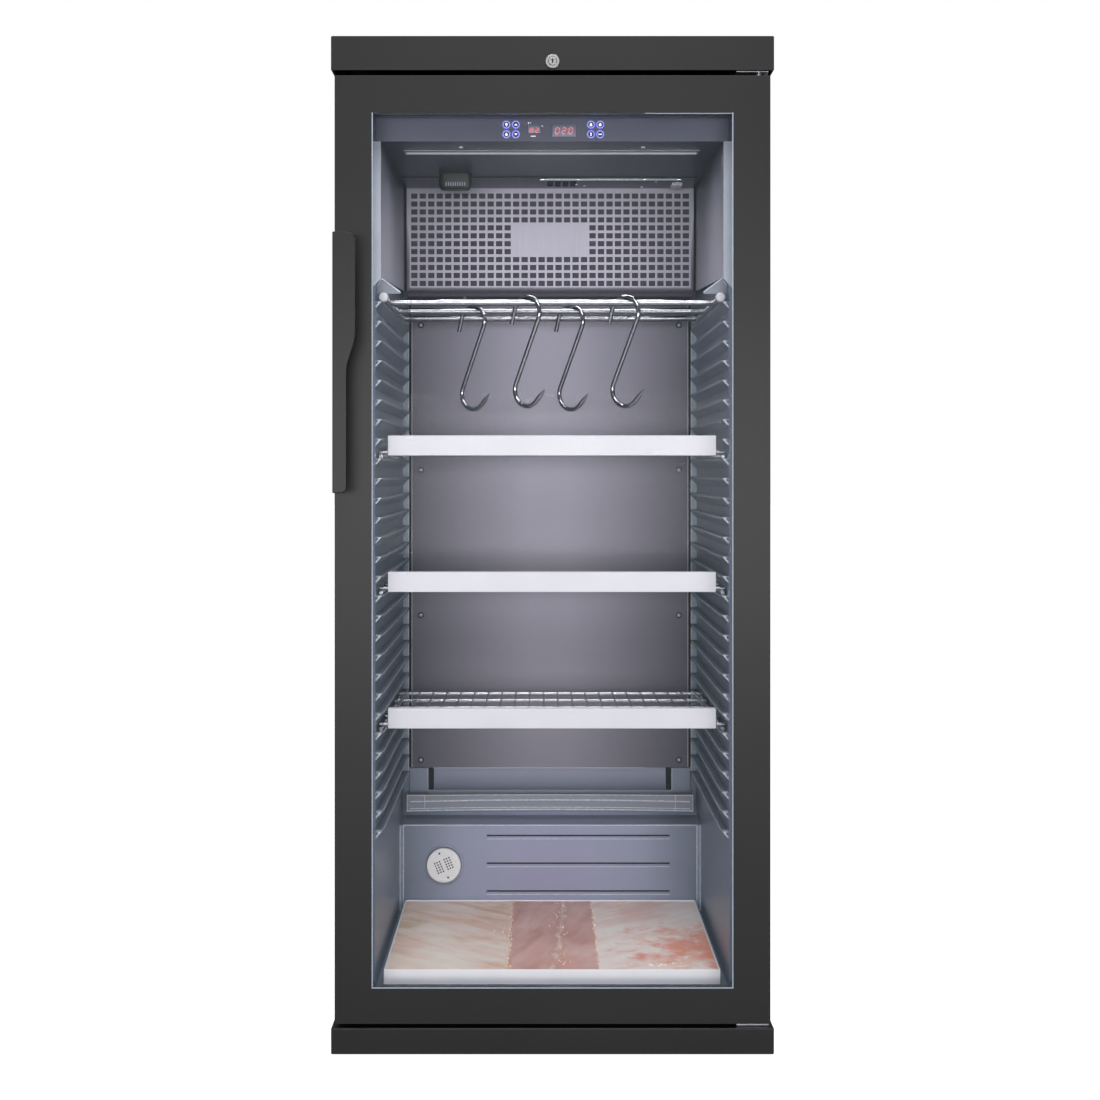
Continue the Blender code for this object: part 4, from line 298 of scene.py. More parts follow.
# Deep gaps and slots, where no light gets in.
shade = finish("shaded recess", Roughness=0.9)
lay(shade, 0.003, None, ("#1a1a20", "#24242b"))

CHAMBER_HALF = 0.247
RIB_FIRST_TOP = 0.287
RIB_PITCH = 0.0275
RIB_COUNT = 28
RIB_EDGE = 0.2374
NOSE_WIDE = 0.0085
NOSE_HIGH = 0.0095
NOSE_BACK = -0.204
SKIN = 0.001
bm = bmesh.new()
for rib in range(RIB_COUNT):
    top = RIB_FIRST_TOP + rib * RIB_PITCH + 0.0003
    for side in (-1, 1):
        wall = side * (CHAMBER_HALF - 0.0002)
        tip = side * (CHAMBER_HALF - NOSE_WIDE)
        rings = []
        for root, nose in ((-0.2165, -0.2135), (NOSE_BACK, NOSE_BACK)):
            corners = ((wall, root, top), (tip, nose, top), (wall, root, top - NOSE_HIGH))
            rings.append([bm.verts.new(corner) for corner in corners])
        for ring in rings:
            bm.faces.new(ring)
        add_band(bm, rings)
        # A pale line along the rib's inner edge: a painted highlight.
        edge = side * RIB_EDGE
        add_block(bm, (edge - 0.0004, -0.2, top - 0.0009), (edge + 0.0004, 0.176, top + 0.0001))
fit("rib_noses", bm, highlight_plastic, "cabinet", "liner_plastic")
FACET_FRONT = 0.1765
FACET_EDGE = 0.2376
bm = bmesh.new()
for rib in range(RIB_COUNT - 1):
    low = RIB_FIRST_TOP + rib * RIB_PITCH + 0.0023
    high = RIB_FIRST_TOP + (rib + 1) * RIB_PITCH - 0.0036
    for side in (-1, 1):
        wall, tip = side * (CHAMBER_HALF - 0.0004), side * FACET_EDGE
        line = side * (FACET_EDGE - 0.0009)
        facet = [(wall, low), (tip, low), (tip, high), (wall, high - NOSE_HIGH)]
        add_plate(bm, facet, FACET_FRONT, SKIN)
        add_plate(bm, oblong(tip, low, line, high), FACET_FRONT - 0.0003, SKIN, 1)
fit("corner_facets", bm, (facet_plastic, highlight_plastic), "cabinet", "liner_plastic")

# Step face: pale beads run along its top edge and down its corners, painted highlights, with a grey band
# between the beads at each corner. Each of its three grooves has a painted shadow along its upper edge and a
# painted highlight on its lower lip.
HUMP_FACE = 0.120
HUMP_TOP = 0.2126
HUMP_FOOT = 0.0715
HUMP_HALF = 0.2404
GROOVES = (0.193, 0.1475, 0.102)
GROOVE_LEFT, GROOVE_RIGHT = -0.1038, 0.1958
PROUD, SUNK = 0.0007, 0.0004
bm = bmesh.new()
corner = (-HUMP_HALF, HUMP_FACE - PROUD, HUMP_TOP - 0.0016)
add_block(bm, corner, (HUMP_HALF, HUMP_FACE + SUNK, HUMP_TOP + 0.0003))
for side in (-1, 1):
    for inset, half, finish_number in ((0.0012, 0.0009, 0), (0.0036, 0.0014, 1), (0.0066, 0.0010, 0)):
        x = side * (CHAMBER_HALF - inset)
        corner = (x - half, HUMP_FACE - (0.0003 if finish_number else PROUD), HUMP_FOOT)
        add_block(bm, corner, (x + half, HUMP_FACE + SUNK, HUMP_TOP - 0.0012), finish_number)
# Each groove: a painted highlight below it and a painted shadow above it.
for z in GROOVES:
    for low, high, front, finish_number in ((-0.0041, -0.0029, -0.0006, 0), (0.0008, 0.0031, 0.0004, 2)):
        corner = (GROOVE_LEFT, HUMP_FACE + front, z + low)
        add_block(bm, corner, (GROOVE_RIGHT, HUMP_FACE + front + SKIN, z + high), finish_number)
fit("step_beads", bm, (highlight_plastic, facet_plastic, shade), "cabinet", "liner_plastic", edge=0.0004)

# Recess behind the drip channel: two posts of the liner, each with a shaded groove beside it. The
# recess lies in the channel's shade, which deepens downwards.
RECESS_LOW, RECESS_HIGH = 0.2556, 0.2936
recess_plastic = finish("polystyrene in the recess", Roughness=0.34, IOR=1.59)
rise = way_along(recess_plastic, "Z", 0.256, 0.293)
recess_tones = ((0.0, "#60647a"), (1.0, "#9c9eb6"))
feed(recess_plastic, Base_Color=add_node(recess_plastic, "ValToRGB", {"stops": recess_tones}, {"Fac": rise}))
bm = bmesh.new()
add_block(bm, (-0.1945, 0.1838, RECESS_LOW), (0.1945, 0.1847, RECESS_HIGH), 3)
for side in (-1, 1):
    outer, inner, groove = side * 0.2352, side * 0.2040, side * 0.1952
    post = (outer, inner, 0.1762, 0.0085)
    gap = (inner, groove, 0.1836, SKIN)
    # A pale line along each post's inner edge is a painted highlight.
    line = (inner + side * 0.0012, inner, 0.1758, SKIN)
    for finish_number, (near, far, front, thick) in enumerate((post, gap, line)):
        add_plate(bm, oblong(near, RECESS_LOW, far, RECESS_HIGH), front, thick, finish_number)
recess_finishes = (liner_plastic, shade, highlight_plastic, recess_plastic)
fit("recess_posts", bm, recess_finishes, "cabinet", "liner_plastic", edge=0.0004)


# Filter disc: a round white plastic insert in the step's face, with a raised rim, a flat middle that
# is pierced with small holes, and two holes for the tool that turns it out.
def add_turned(bm, profile, centre, axis, sides=48, finish_number=0):
    """A profile of (radius, height) points, turned round an axis through centre."""
    turn = Vector(axis).to_track_quat("Z", "Y")
    rings = []
    closed = profile[0] == profile[-1]
    for radius, height in profile[:-1] if closed else profile:
        ring = []
        for i in range(sides if radius > 0 else 1):
            angle = 2 * math.pi * i / sides
            point = Vector((radius * math.cos(angle), radius * math.sin(angle), height))
            ring.append(bm.verts.new(Vector(centre) + turn @ point))
        rings.append(ring)
    if closed:
        rings.append(rings[0])
    for ring, following in zip(rings, rings[1:]):
        for i in range(sides):
            j = (i + 1) % sides
            near = (ring[i % len(ring)], ring[j % len(ring)])
            far = (following[j % len(following)], following[i % len(following)])
            bm.faces.new(list(dict.fromkeys(near + far))).material_index = finish_number
    for ring in (rings[0], rings[-1]):
        if len(ring) > 1 and not closed:
            bm.faces.new(ring).material_index = finish_number


def disc(radius, thick):
    """The profile of a flat disc."""
    return ((0, 0), (radius, 0), (radius, thick), (0, thick))


def hoop(inner, outer, thick):
    """The closed profile of a flat ring."""
    return ((inner, 0), (outer, 0), (outer, thick), (inner, thick), (inner, 0))


BACKWARD = (0, 1, 0)
# The mould leaves ABS a cool satin white. Polypropylene is whiter and takes a little more gloss.
white_plastic = finish("moulded white ABS", Roughness=0.38, IOR=1.54)
lay(white_plastic, 0.06, {"Detail": 3}, ("#d1d0d8", "#d7d6de"))
lay(white_plastic, 0.001, relief=(0.1, 0.0001))
bright_white = finish("bright white polypropylene", Roughness=0.3, IOR=1.49)
lay(bright_white, 0.05, {"Detail": 3}, ("#f6f6fa", "#fbfbfd"))
filter_low, filter_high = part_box("filter_disc")
filter_middle = (filter_low + filter_high) / 2
filter_radius = (filter_high.x - filter_low.x) / 2
FILTER_RIM = 0.0035
FILTER_FACE = 0.0012
FILTER_HOLE = 0.0014
FILTER_PITCH = 0.0042
HOLE_DEPTH = 0.0003
disc_front = filter_low.y - 0.0006
disc_centre = Vector((filter_middle.x, disc_front, filter_middle.z))
bm = bmesh.new()
profile = (
    (0, FILTER_FACE), (filter_radius * 0.62, FILTER_FACE), (filter_radius * 0.64, FILTER_FACE * 0.6),
    (filter_radius - FILTER_RIM, FILTER_FACE * 0.6), (filter_radius - FILTER_RIM * 0.85, 0),
    (filter_radius - 0.0008, 0), (filter_radius, 0.0008),
    (filter_radius, filter_high.y - disc_front), (0, filter_high.y - disc_front),
)
add_turned(bm, profile, disc_centre, BACKWARD, 64)
for row in range(-2, 3):
    for column in range(-3, 4):
        across, up = column * FILTER_PITCH, row * FILTER_PITCH
        if math.hypot(across, up) < filter_radius * 0.56 and column:
            turned = Vector((across * 0.92 - up * 0.39, FILTER_FACE - 0.00005, up * 0.92 + across * 0.39))
            add_turned(bm, disc(FILTER_HOLE, HOLE_DEPTH), disc_centre + turned, BACKWARD, 8, 1)
for side in (-1, 1):
    spot = disc_centre + Vector((side * 0.0072, FILTER_FACE * 0.55, side * -0.0195))
    add_turned(bm, disc(0.0017, HOLE_DEPTH), spot, BACKWARD, 10, 1)
fit("filter_disc_dressed", bm, (bright_white, shade), "cabinet", "white_plastic", "filter_disc")
bm = bmesh.new()
ring_centre = Vector((filter_middle.x, HUMP_FACE - 0.0001, filter_middle.z))
ring = [(filter_radius + reach, height) for reach, height in ((0.0042, 0), (0.0049, -0.0005), (0.0056, 0))]
add_turned(bm, ring + ring[:1], ring_centre, BACKWARD, 64)
add_turned(bm, hoop(filter_radius + 0.0002, filter_radius + 0.0011, -0.0006), ring_centre, BACKWARD, 64, 1)
fit("filter_ring", bm, (facet_plastic, shade), "cabinet", "liner_plastic")


# Lock: a nickel plated brass barrel through the lid, with a plug that turns in it and a steel cam
# behind. The plating is bright, with the fine rings that turning leaves.
def circle(x, z, radius, points=28, start=0.0, turn=2 * math.pi):
    """Points of a circle, or of part of one."""
    angles = [start + turn * i / points for i in range(points if turn >= 2 * math.pi else points + 1)]
    return [(x + radius * math.cos(angle), z + radius * math.sin(angle)) for angle in angles]


nickel = finish("nickel plated brass", Metallic=1.0, Roughness=0.24)
lay(nickel, 0.0009, None, ((0.35, "#d2d2cf"), (0.65, "#ecebe7")), (0.18, 0.34))
ease("lock_housing", nickel, 0.0004)
ease("lock_plug", nickel, 0.0002)
ease("lock_cam", galvanised, 0.0003)
PLUG_RADIUS = 0.0055
RIM_LINE = 0.0006
plug_low, plug_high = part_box("lock_plug")
plug_x, plug_z = (plug_low.x + plug_high.x) / 2, (plug_low.z + plug_high.z) / 2
bm = bmesh.new()
flare = ((-0.0006, 0), (0.0006, 0), (0.0010, -0.0032), (-0.0010, -0.0032))
slot = [(plug_x + across, plug_z + up) for across, up in flare]
for outline in (circle(plug_x, plug_z + 0.0007, 0.0014, 20), slot):
    add_plate(bm, outline, plug_low.y - 0.0001, 0.0003)
fit("lock_keyway", bm, shade, "lock", "dark_plastic")
bm = bmesh.new()
rim_centre = (plug_x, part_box("lock_housing")[0].y - 0.0001, plug_z)
add_turned(bm, hoop(PLUG_RADIUS, PLUG_RADIUS + RIM_LINE, 0.0005), rim_centre, BACKWARD, 40)
fit("lock_rim", bm, shade, "cabinet", "dark_plastic")

# Hinge plates and strike plate: stamped stainless steel, in the gaps above and under the door. Rolling
# gives the sheet a dull, even sheen. The door turns on the plates' pins, in black bushes.
sheet_steel = finish("rolled stainless steel", Metallic=1.0, Roughness=0.36)
sheet_tones = ("#a9abb0", "#c3c5ca")
lay(sheet_steel, (0.03, 0.0009, 0.0009), {"Detail": 3}, sheet_tones, (0.28, 0.42))
for name in ("top_hinge_plate", "bottom_hinge_plate", "strike_plate"):
    ease(name, sheet_steel, 0.0004)
ease("hinge_bush_top", rubber, 0.0003)
ease("hinge_bush_bottom", rubber, 0.0003)

# Door glazing: two toughened panes with a spacer frame between them, pressed forward by a black
# moulding that closes the door's back. The panes are clear, with a breath of green in their edges.
# A bead of grey PVC runs round the opening. Its light grey stands for the light that its edge catches, a
# painted highlight, and so does a short line of it under the top on the right.
glass_green = linear("#7f908e")
glass = finish("toughened float glass", Base_Color=glass_green, Roughness=0.03, IOR=1.52, Alpha=0.012)
lay(glass, 0.2, gloss=(0.02, 0.05))
ease("door_glass_outer", glass)
ease("door_glass_inner", glass)
ease("glass_spacer", galvanised)
# The moulding is matt and softly grained, so it shows as an even, near black band.
black_plastic = finish("moulded black PVC", Roughness=0.45, IOR=1.53)
lay(black_plastic, 0.0011, None, ("#202023", "#29292c"), relief=(0.2, 0.0002))
grey_plastic = finish("extruded grey PVC", Roughness=0.4, IOR=1.53)
lay(grey_plastic, 0.002, None, ("#8e99a8", "#a3adbb"))
OPENING_HALF = 0.245
OPENING_LOW, OPENING_HIGH = 0.0915, 1.278
PANE_SPLAY = 0.005
BACK_SPLAY = 0.011
inner_low, inner_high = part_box("door_inner_frame")
bm = bmesh.new()
rings = []
for half, low, high, y in (
    (inner_high.x, inner_low.z, inner_high.z, inner_low.y),
    (OPENING_HALF + PANE_SPLAY, OPENING_LOW - PANE_SPLAY, OPENING_HIGH + PANE_SPLAY, inner_low.y),
    (OPENING_HALF + BACK_SPLAY, OPENING_LOW - BACK_SPLAY, OPENING_HIGH + BACK_SPLAY, inner_high.y),
    (inner_high.x, inner_low.z, inner_high.z, inner_high.y),
):
    rings.append([bm.verts.new((x, y, z)) for x, z in oblong(-half, low, half, high)])
add_band(bm, rings + rings[:1])
fit("door_inner_splayed", bm, black_plastic, "door", "dark_plastic", "door_inner_frame", edge=0.001)
BEAD = 0.0016
BEAD_FRONT, BEAD_BACK = -0.2796, -0.2786
half = OPENING_HALF - 0.0001
low, high = OPENING_LOW + 0.0001, OPENING_HIGH - 0.0001
bm = bmesh.new()
for left, bottom, right, top, finish_number in (
    (-half, low, -half + BEAD, high, 0),
    (half - BEAD, low, half, high, 0),
    (-half + BEAD, low, half - BEAD, low + BEAD, 0),
    (-half + BEAD, high - 0.0009, half - BEAD, high, 1),
    # A short line under the top, on the right: a painted highlight.
    (0.1253, high - 0.0019, half - BEAD, high - 0.0010, 0),
):
    add_block(bm, (left, BEAD_FRONT, bottom), (right, BEAD_BACK, top), finish_number)
fit("glazing_bead", bm, (grey_plastic, black_plastic), "door", "dark_plastic", edge=0.0003)
ease("door_gasket", rubber, 0.0015, 3)

# Control fascia: a satin strip of polycarbonate under the chamber's top edge. The circuit board behind
# it carries two digit displays, which stand in two windows, and eight lit touch keys.
fascia_plastic = finish("satin polycarbonate", Roughness=0.42, IOR=1.58)
lay(fascia_plastic, 0.1, {"Detail": 3}, ("#54556a", "#5b5c72"))
lay(fascia_plastic, 0.0012, relief=(0.12, 0.0001))
ease("control_fascia", fascia_plastic, 0.0008)
BORDER_HALF = 0.2535
BORDER_FRONT, BORDER_BACK = -0.2262, -0.2254
BORDER_LOW, BORDER_HIGH = 1.2849, 1.2925
bm = bmesh.new()
for side in (-1, 1):
    near, far = sorted((side * 0.2469, side * BORDER_HALF))
    add_block(bm, (near, BORDER_FRONT, 1.2516), (far, BORDER_BACK, BORDER_LOW))
add_block(bm, (-BORDER_HALF, BORDER_FRONT, BORDER_LOW), (BORDER_HALF, BORDER_BACK, BORDER_HIGH))
fit("fascia_border", bm, fascia_plastic, "cabinet", "dark_plastic", edge=0.0002)
# Round the digits the board shows as dull grey, with its tracks as faint lines.
circuit = finish("solder masked circuit board", Roughness=0.4)
lay(circuit, 0.02, {"Mortar Size": 0.03}, ((0.0, "#86879a"), (1.0, "#737486")), kind="TexBrick")
ease("control_display_board", circuit)


def lamp(name, code, strength):
    """A material that glows: printed ink or a diode's lens, lit from behind."""
    made = finish(name, Base_Color=linear(code), Roughness=0.5, Emission_Strength=strength)
    glow = add_node(made, "ValToRGB", {"stops": ((0.2, code), (0.9, "#ffffff"))}, {"Fac": lay(made, 0.002)})
    feed(made, Emission_Color=glow)
    return made


# What each key shows, drawn round (0, 0): light, up, humidity, down, lock, power, fan and clock.
KEY_SIGNS = (
    (circle(0, 0.25, 0.72, 14), oblong(-0.3, -0.55, 0.3, -1)),
    ([(-1, -0.45), (1, -0.45), (0, 0.6)],),
    (circle(0, -0.25, 0.75, 14, math.pi * 0.9, math.pi * 1.2) + [(0, 1)],),
    ([(1, 0.45), (-1, 0.45), (0, -0.6)],),
    (oblong(-0.7, 0.1, 0.7, -0.9), [(-0.5, 0.2), (0.5, 0.2), (0.4, 0.9), (-0.4, 0.9)]),
    (circle(0, -0.1, 0.8, 16), oblong(-0.14, 0.8, 0.14, 1.1)),
    (circle(0, 0.5, 0.45, 12), circle(0, -0.5, 0.45, 12)),
    (oblong(-1, -0.3, 1, 0.3),),
)
SIGN_HALF = 0.0024
KEY_RADIUS = 0.0048
KEY_LINE = 0.0006
KEY_PROUD = 0.0004
KEY_HALO = 0.0011
KEY_COLUMNS = (-0.0637, -0.0506, 0.0541, 0.0669)
KEY_ROWS = (1.2748, 1.2614)
PRINT = 0.0002
key_blue = lamp("lit blue ring", "#7d84ff", 0.85)
key_halo = lamp("blue glow on satin", "#3a3ad8", 0.34)
key_glow = lamp("unlit navy lens", "#10105a", 0.03)
key_white = lamp("lit white symbol", "#e8ecff", 0.95)
fascia_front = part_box("control_fascia")[0].y
key_front = fascia_front - KEY_PROUD
bm = bmesh.new()
for number, sign in enumerate(KEY_SIGNS):
    x, z = KEY_COLUMNS[number // 4 * 2 + number % 2], KEY_ROWS[number % 4 // 2]
    for profile, setback, finish_number in (
        (hoop(KEY_RADIUS - KEY_LINE, KEY_RADIUS, KEY_PROUD), 0, 0),
        (disc(KEY_RADIUS - KEY_LINE, PRINT), PRINT, 1),
        (hoop(KEY_RADIUS, KEY_RADIUS + KEY_HALO, 0.0001), PRINT, 3),
    ):
        add_turned(bm, profile, (x, key_front + setback, z), BACKWARD, 36, finish_number)
    for outline in sign:
        add_plate(bm, [(x + SIGN_HALF * a, z + SIGN_HALF * b) for a, b in outline], key_front, PRINT, 2)
fit("touch_keys", bm, (key_blue, key_glow, key_white, key_halo), "cabinet", "light_cover")

# Digits: seven bars each, lit red through the fascia. The bars that a digit leaves out show as a grey
# trace, and small lit signs stand beside the digits.
SEGMENTS = {"0": "abcdef", "2": "abged", "8": "abcdefg"}
SLANT = 0.12


def digit_bars(x, z, wide, high, line):
    """The seven bars of one digit, by letter, as outlines round its middle."""
    half, rise = wide / 2, high / 2
    vein_and_glint = {
        "a": ((-half, rise), (half, rise)), "d": ((-half, -rise), (half, -rise)),
        "g": ((-half, 0), (half, 0)),
        "f": ((-half, 0), (-half, rise)), "b": ((half, 0), (half, rise)),
        "e": ((-half, -rise), (-half, 0)), "c": ((half, -rise), (half, 0)),
    }
    bars = {}
    for letter, ((x0, z0), (x1, z1)) in vein_and_glint.items():
        flat = z0 == z1
        dx, dz = (0, line / 2) if flat else (line / 2, 0)
        gx, gz = (line * 0.6, 0) if flat else (0, line * 0.6)
        low, high = (x0 + gx, z0 + gz), (x1 - gx, z1 - gz)
        ends = ((-1, *low), (-1, *high), (1, *high), (1, *low))
        points = [(px + way * dx, pz + way * dz) for way, px, pz in ends]
        bars[letter] = [(x + px + SLANT * pz, z + pz) for px, pz in points]
    return bars


digit_red = lamp("red digit segment", "#ff3848", 0.6)
digit_dark = lamp("unlit digit segment", "#8a8b9a", 0.05)
display_front = fascia_front + 0.0004
bm = bmesh.new()
for digits, left, right, middle_z, high in (
    ("82", -0.0339, -0.0159, 1.2672, 0.0062), ("020", 0.0, 0.0334, 1.2664, 0.0082)
):
    pitch = (right - left) * 0.84 / len(digits)
    wide = pitch * 0.56
    first = (left + right) / 2 - pitch * (len(digits) - 1) / 2
    for place_number, digit in enumerate(digits):
        bars = digit_bars(first + pitch * place_number, middle_z, wide, high, wide * 0.2)
        for letter, outline in bars.items():
            add_plate(bm, outline, display_front, PRINT, 0 if letter in SEGMENTS[digit] else 1)
add_plate(bm, circle(0.0213, 1.2625, 0.0005, 8), display_front, PRINT)
fit("display_digits", bm, (digit_red, digit_dark), "cabinet", "light_cover")
bm = bmesh.new()
for outline in (
    oblong(-0.0333, 1.2757, -0.0325, 1.2783), circle(-0.0303, 1.2773, 0.0006, 10),
    circle(-0.0139, 1.2728, 0.0007, 10), oblong(-0.0298, 1.2583, -0.0228, 1.2591),
):
    add_plate(bm, outline, key_front, PRINT)
fit("display_signs", bm, key_white, "cabinet", "light_cover")

# Air hood: a folded steel canopy under the chamber's top, painted in the liner's grey. Its colour is painted
# darker towards the top, a painted shade. It carries the light, the ultraviolet lamp and the sensor. A lapped
# rear sheet has small vent slots.
hood_paint = finish("grey painted steel", Roughness=0.36, IOR=1.5)
cloud = lay(hood_paint, 0.15, {"Detail": 3})
lay(hood_paint, 0.0018, relief=(0.1, 0.0002))
# Painted shade: the colour darkens towards the top.
hood_shade_tones = ((0.0, "#b2b1c0"), (1.0, "#2e3142"))
upward = way_along(hood_paint, "Z", 1.06, 1.258)
feed(hood_paint, Base_Color=grade(hood_paint, upward, cloud, 0.06, hood_shade_tones))
ease("air_hood", hood_paint, 0.0006)
# The side strips' paint is lighter and smoother, so they stand out from the hood as pale bands.
strip_paint = finish("light grey painted steel", Roughness=0.3, IOR=1.5)
lay(strip_paint, 0.08, {"Detail": 3}, ("#b9c0cf", "#c8cfdc"))
hood_ceiling = 1.2587
STRIP_FRONT = -0.2263
STRIP_SHEET = 0.0008
STRIP_LOW, STRIP_HIGH = 1.0600, 1.2512
bm = bmesh.new()
for side in (-1, 1):
    wall, inner, fold = side * 0.2533, side * 0.2386, side * 0.2388
    face = [(wall, 1.0440), (inner, STRIP_LOW), (inner, STRIP_HIGH), (wall, STRIP_HIGH)]
    add_plate(bm, face, STRIP_FRONT, STRIP_SHEET)
    corner = (fold - STRIP_SHEET / 2, STRIP_FRONT + STRIP_SHEET, STRIP_LOW)
    add_block(bm, corner, (fold + STRIP_SHEET / 2, STRIP_FRONT + 0.0150, STRIP_HIGH), 1)
fit("hood_side_strips", bm, (strip_paint, hood_paint), "cabinet", "liner_plastic", edge=0.0002)


def add_screw(bm, point, axis, radius):
    """A pan head screw with a cross recess, its seat at point and its head along axis."""
    rise = radius * 0.55
    dome = ((1, 0), (1, 0.3), (0.86, 0.72), (0.55, 0.95), (0, 1))
    add_turned(bm, [(radius * out, rise * up) for out, up in dome], point, axis, 20)
    turn = Vector(axis).to_track_quat("Z", "Y")
    arm, reach = radius * 0.13, radius * 0.5
    cross = [
        (arm, arm), (arm, reach), (-arm, reach), (-arm, arm), (-reach, arm), (-reach, -arm),
        (-arm, -arm), (-arm, -reach), (arm, -reach), (arm, -arm), (reach, -arm), (reach, arm),
    ]
    corners = [
        [bm.verts.new(Vector(point) + turn @ Vector((x, y, height))) for x, y in cross]
        for height in (rise * 0.5, rise * 1.02)
    ]
    for ring in (corners[0][::-1], corners[1]):
        bm.faces.new(ring).material_index = 1
    add_band(bm, corners, 1)


SEAM_Y = 0.048
HOOD_HALF = 0.2362
rear_sheet = hood_ceiling - 0.0009
bm = bmesh.new()
for x, y, z, radius in (
    (-0.1305, -0.159, hood_ceiling, 0.0032), (0.1315, -0.159, hood_ceiling, 0.0032),
    (-0.1415, 0.152, 1.0804, 0.0024), (0.137, 0.152, 1.0804, 0.0024),
    (0.0425, 0.100, rear_sheet, 0.0022), (0.056, 0.112, rear_sheet, 0.0018),
    (0.150, 0.121, rear_sheet, 0.0022), (0.170, 0.080, rear_sheet, 0.0018),
):
    add_screw(bm, (x, y, z), (0, 0, -1), radius)
fit("hood_screws", bm, (bright_white, shade), "cabinet", "white_plastic")
bm = bmesh.new()
add_block(bm, (-HOOD_HALF, SEAM_Y, rear_sheet), (HOOD_HALF, 0.1340, hood_ceiling - 0.0002))
fit("hood_rear_sheet", bm, hood_paint, "cabinet", "liner_plastic", edge=0.0002)
bm = bmesh.new()
for column in range(4):
    for row in range(3):
        x, y = -0.0050 + 0.0124 * column, 0.0786 + 0.0140 * row
        add_block(bm, (x, y, hood_ceiling - 0.0013), (x + 0.0095, y + 0.0090, rear_sheet))
add_block(bm, (-0.2364, SEAM_Y - 0.0012, hood_ceiling - 0.0006), (0.2364, SEAM_Y, hood_ceiling - 0.0001))
fit("hood_vents", bm, shade, "cabinet", "dark_plastic")
bm = bmesh.new()
add_block(bm, (0.196, 0.084, hood_ceiling - 0.006), (0.213, 0.112, hood_ceiling - 0.001))
add_block(bm, (0.201, 0.078, hood_ceiling - 0.0045), (0.208, 0.084, hood_ceiling - 0.0012))
fit("lamp_connector", bm, white_plastic, "cabinet", "white_plastic", edge=0.0008)

# Light: a row of white diodes in a slim aluminium profile, under a half round frosted lens. The lens
# scatters the diodes' light, so that it shows as one soft bar, and lights the chamber from above.
# Anodising leaves the drawn profile a dull silver, streaked along its length.
aluminium = finish("anodised aluminium", Metallic=0.9, Roughness=0.35)
lay(aluminium, (0.05, 0.0008, 0.0008), {"Detail": 3}, ("#8d8f98", "#a5a7b0"))
lens_grey = linear("#c6c8d2")
frosted = finish("frosted polycarbonate", Base_Color=lens_grey, Roughness=0.35, Emission_Strength=0.07)
diodes = lay(frosted, 0.11, {"bands_direction": "X"}, kind="TexWave")
glow = add_node(frosted, "ValToRGB", {"stops": ((0.0, "#dfe4f5"), (1.0, "#ffffff"))}, {"Fac": diodes})
feed(frosted, Emission_Color=glow)
LENS_HALF = 0.0045
LENS_DEPTH = 0.0022
LENS_STEPS = 10
TRAY_HALF = 0.0125
TRAY_LIP = 0.0012
led_low, led_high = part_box("led_strip")
led_middle = (led_low.y + led_high.y) / 2
tray = [(-TRAY_HALF, 0), (-TRAY_HALF, -TRAY_LIP), (-LENS_HALF - 0.0006, -0.0018)]
tray += [(-y, z) for y, z in tray[::-1]]
angles = [math.pi * i / LENS_STEPS for i in range(LENS_STEPS + 1)]
lens = [(-LENS_HALF * math.cos(angle), -TRAY_LIP - LENS_DEPTH * math.sin(angle)) for angle in angles]
bm = bmesh.new()
for finish_number, (section, inset) in enumerate(((tray, 0), (lens, 0.003))):
    rings = [
        [bm.verts.new((x, led_middle + y, led_high.z + z)) for y, z in section]
        for x in (led_low.x + inset, led_high.x - inset)
    ]
    for ring in rings:
        bm.faces.new(ring).material_index = finish_number
    add_band(bm, rings, finish_number)
fit("led_strip_dressed", bm, (aluminium, frosted), "cabinet", "light_cover", "led_strip")


def add_light(name, wide, high, watts, spot):
    """A rectangular lamp that shines downwards until it is turned."""
    light = bpy.data.lights.new(name, "AREA")
    light.shape = "RECTANGLE"
    light.size = wide
    light.size_y = high
    light.energy = watts
    placed = bpy.data.objects.new(name, light)
    placed.location = spot
    scene.collection.objects.link(placed)
    return placed


add_light("chamber light", 0.36, 0.012, 0.62, (0, led_middle, led_high.z - 0.0060))

# Ultraviolet lamp: a thin quartz tube with a metal cap at each end, held under the canopy by two
# clips. It is off, so that it only shows the light that it mirrors.
quartz = finish("quartz tube", Roughness=0.08, IOR=1.46)
lay(quartz, 0.004, None, ("#b9c0d0", "#dfe3ec"))
TUBE = 0.0016
CAP = 0.0020
CAP_LENGTH = 0.010
CLIP_WIDTH = 0.004
uv_low, uv_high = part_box("uv_tube")
tube_y = (uv_low.y + uv_high.y) / 2
tube_z = 1.2566
length = uv_high.x - uv_low.x
profile = (
    (0, 0), (TUBE * 0.8, 0), (TUBE, 0.001), (TUBE, length - 0.001), (TUBE * 0.8, length), (0, length),
)
cap = (
    (0, 0), (CAP - 0.0002, 0), (CAP, 0.0004), (CAP, CAP_LENGTH - 0.0004), (CAP - 0.0002, CAP_LENGTH),
    (0, CAP_LENGTH),
)
clip = hoop(0.0017, 0.0021, CLIP_WIDTH)
clips = (0.26 * length, 0.72 * length)
bm = bmesh.new()
for part, start in ((profile, 0), (cap, 0), (cap, length - CAP_LENGTH), (clip, clips[0]), (clip, clips[1])):
    add_turned(bm, part, (uv_low.x + start, tube_y, tube_z), (1, 0, 0), 24, 0 if part is profile else 1)
for start in clips:
    x = uv_low.x + start
    add_block(bm, (x, tube_y - 0.0012, tube_z + TUBE), (x + CLIP_WIDTH, tube_y + 0.0016, hood_ceiling), 1)
fit("uv_tube_dressed", bm, (quartz, nickel), "cabinet", "light_cover", "uv_tube")

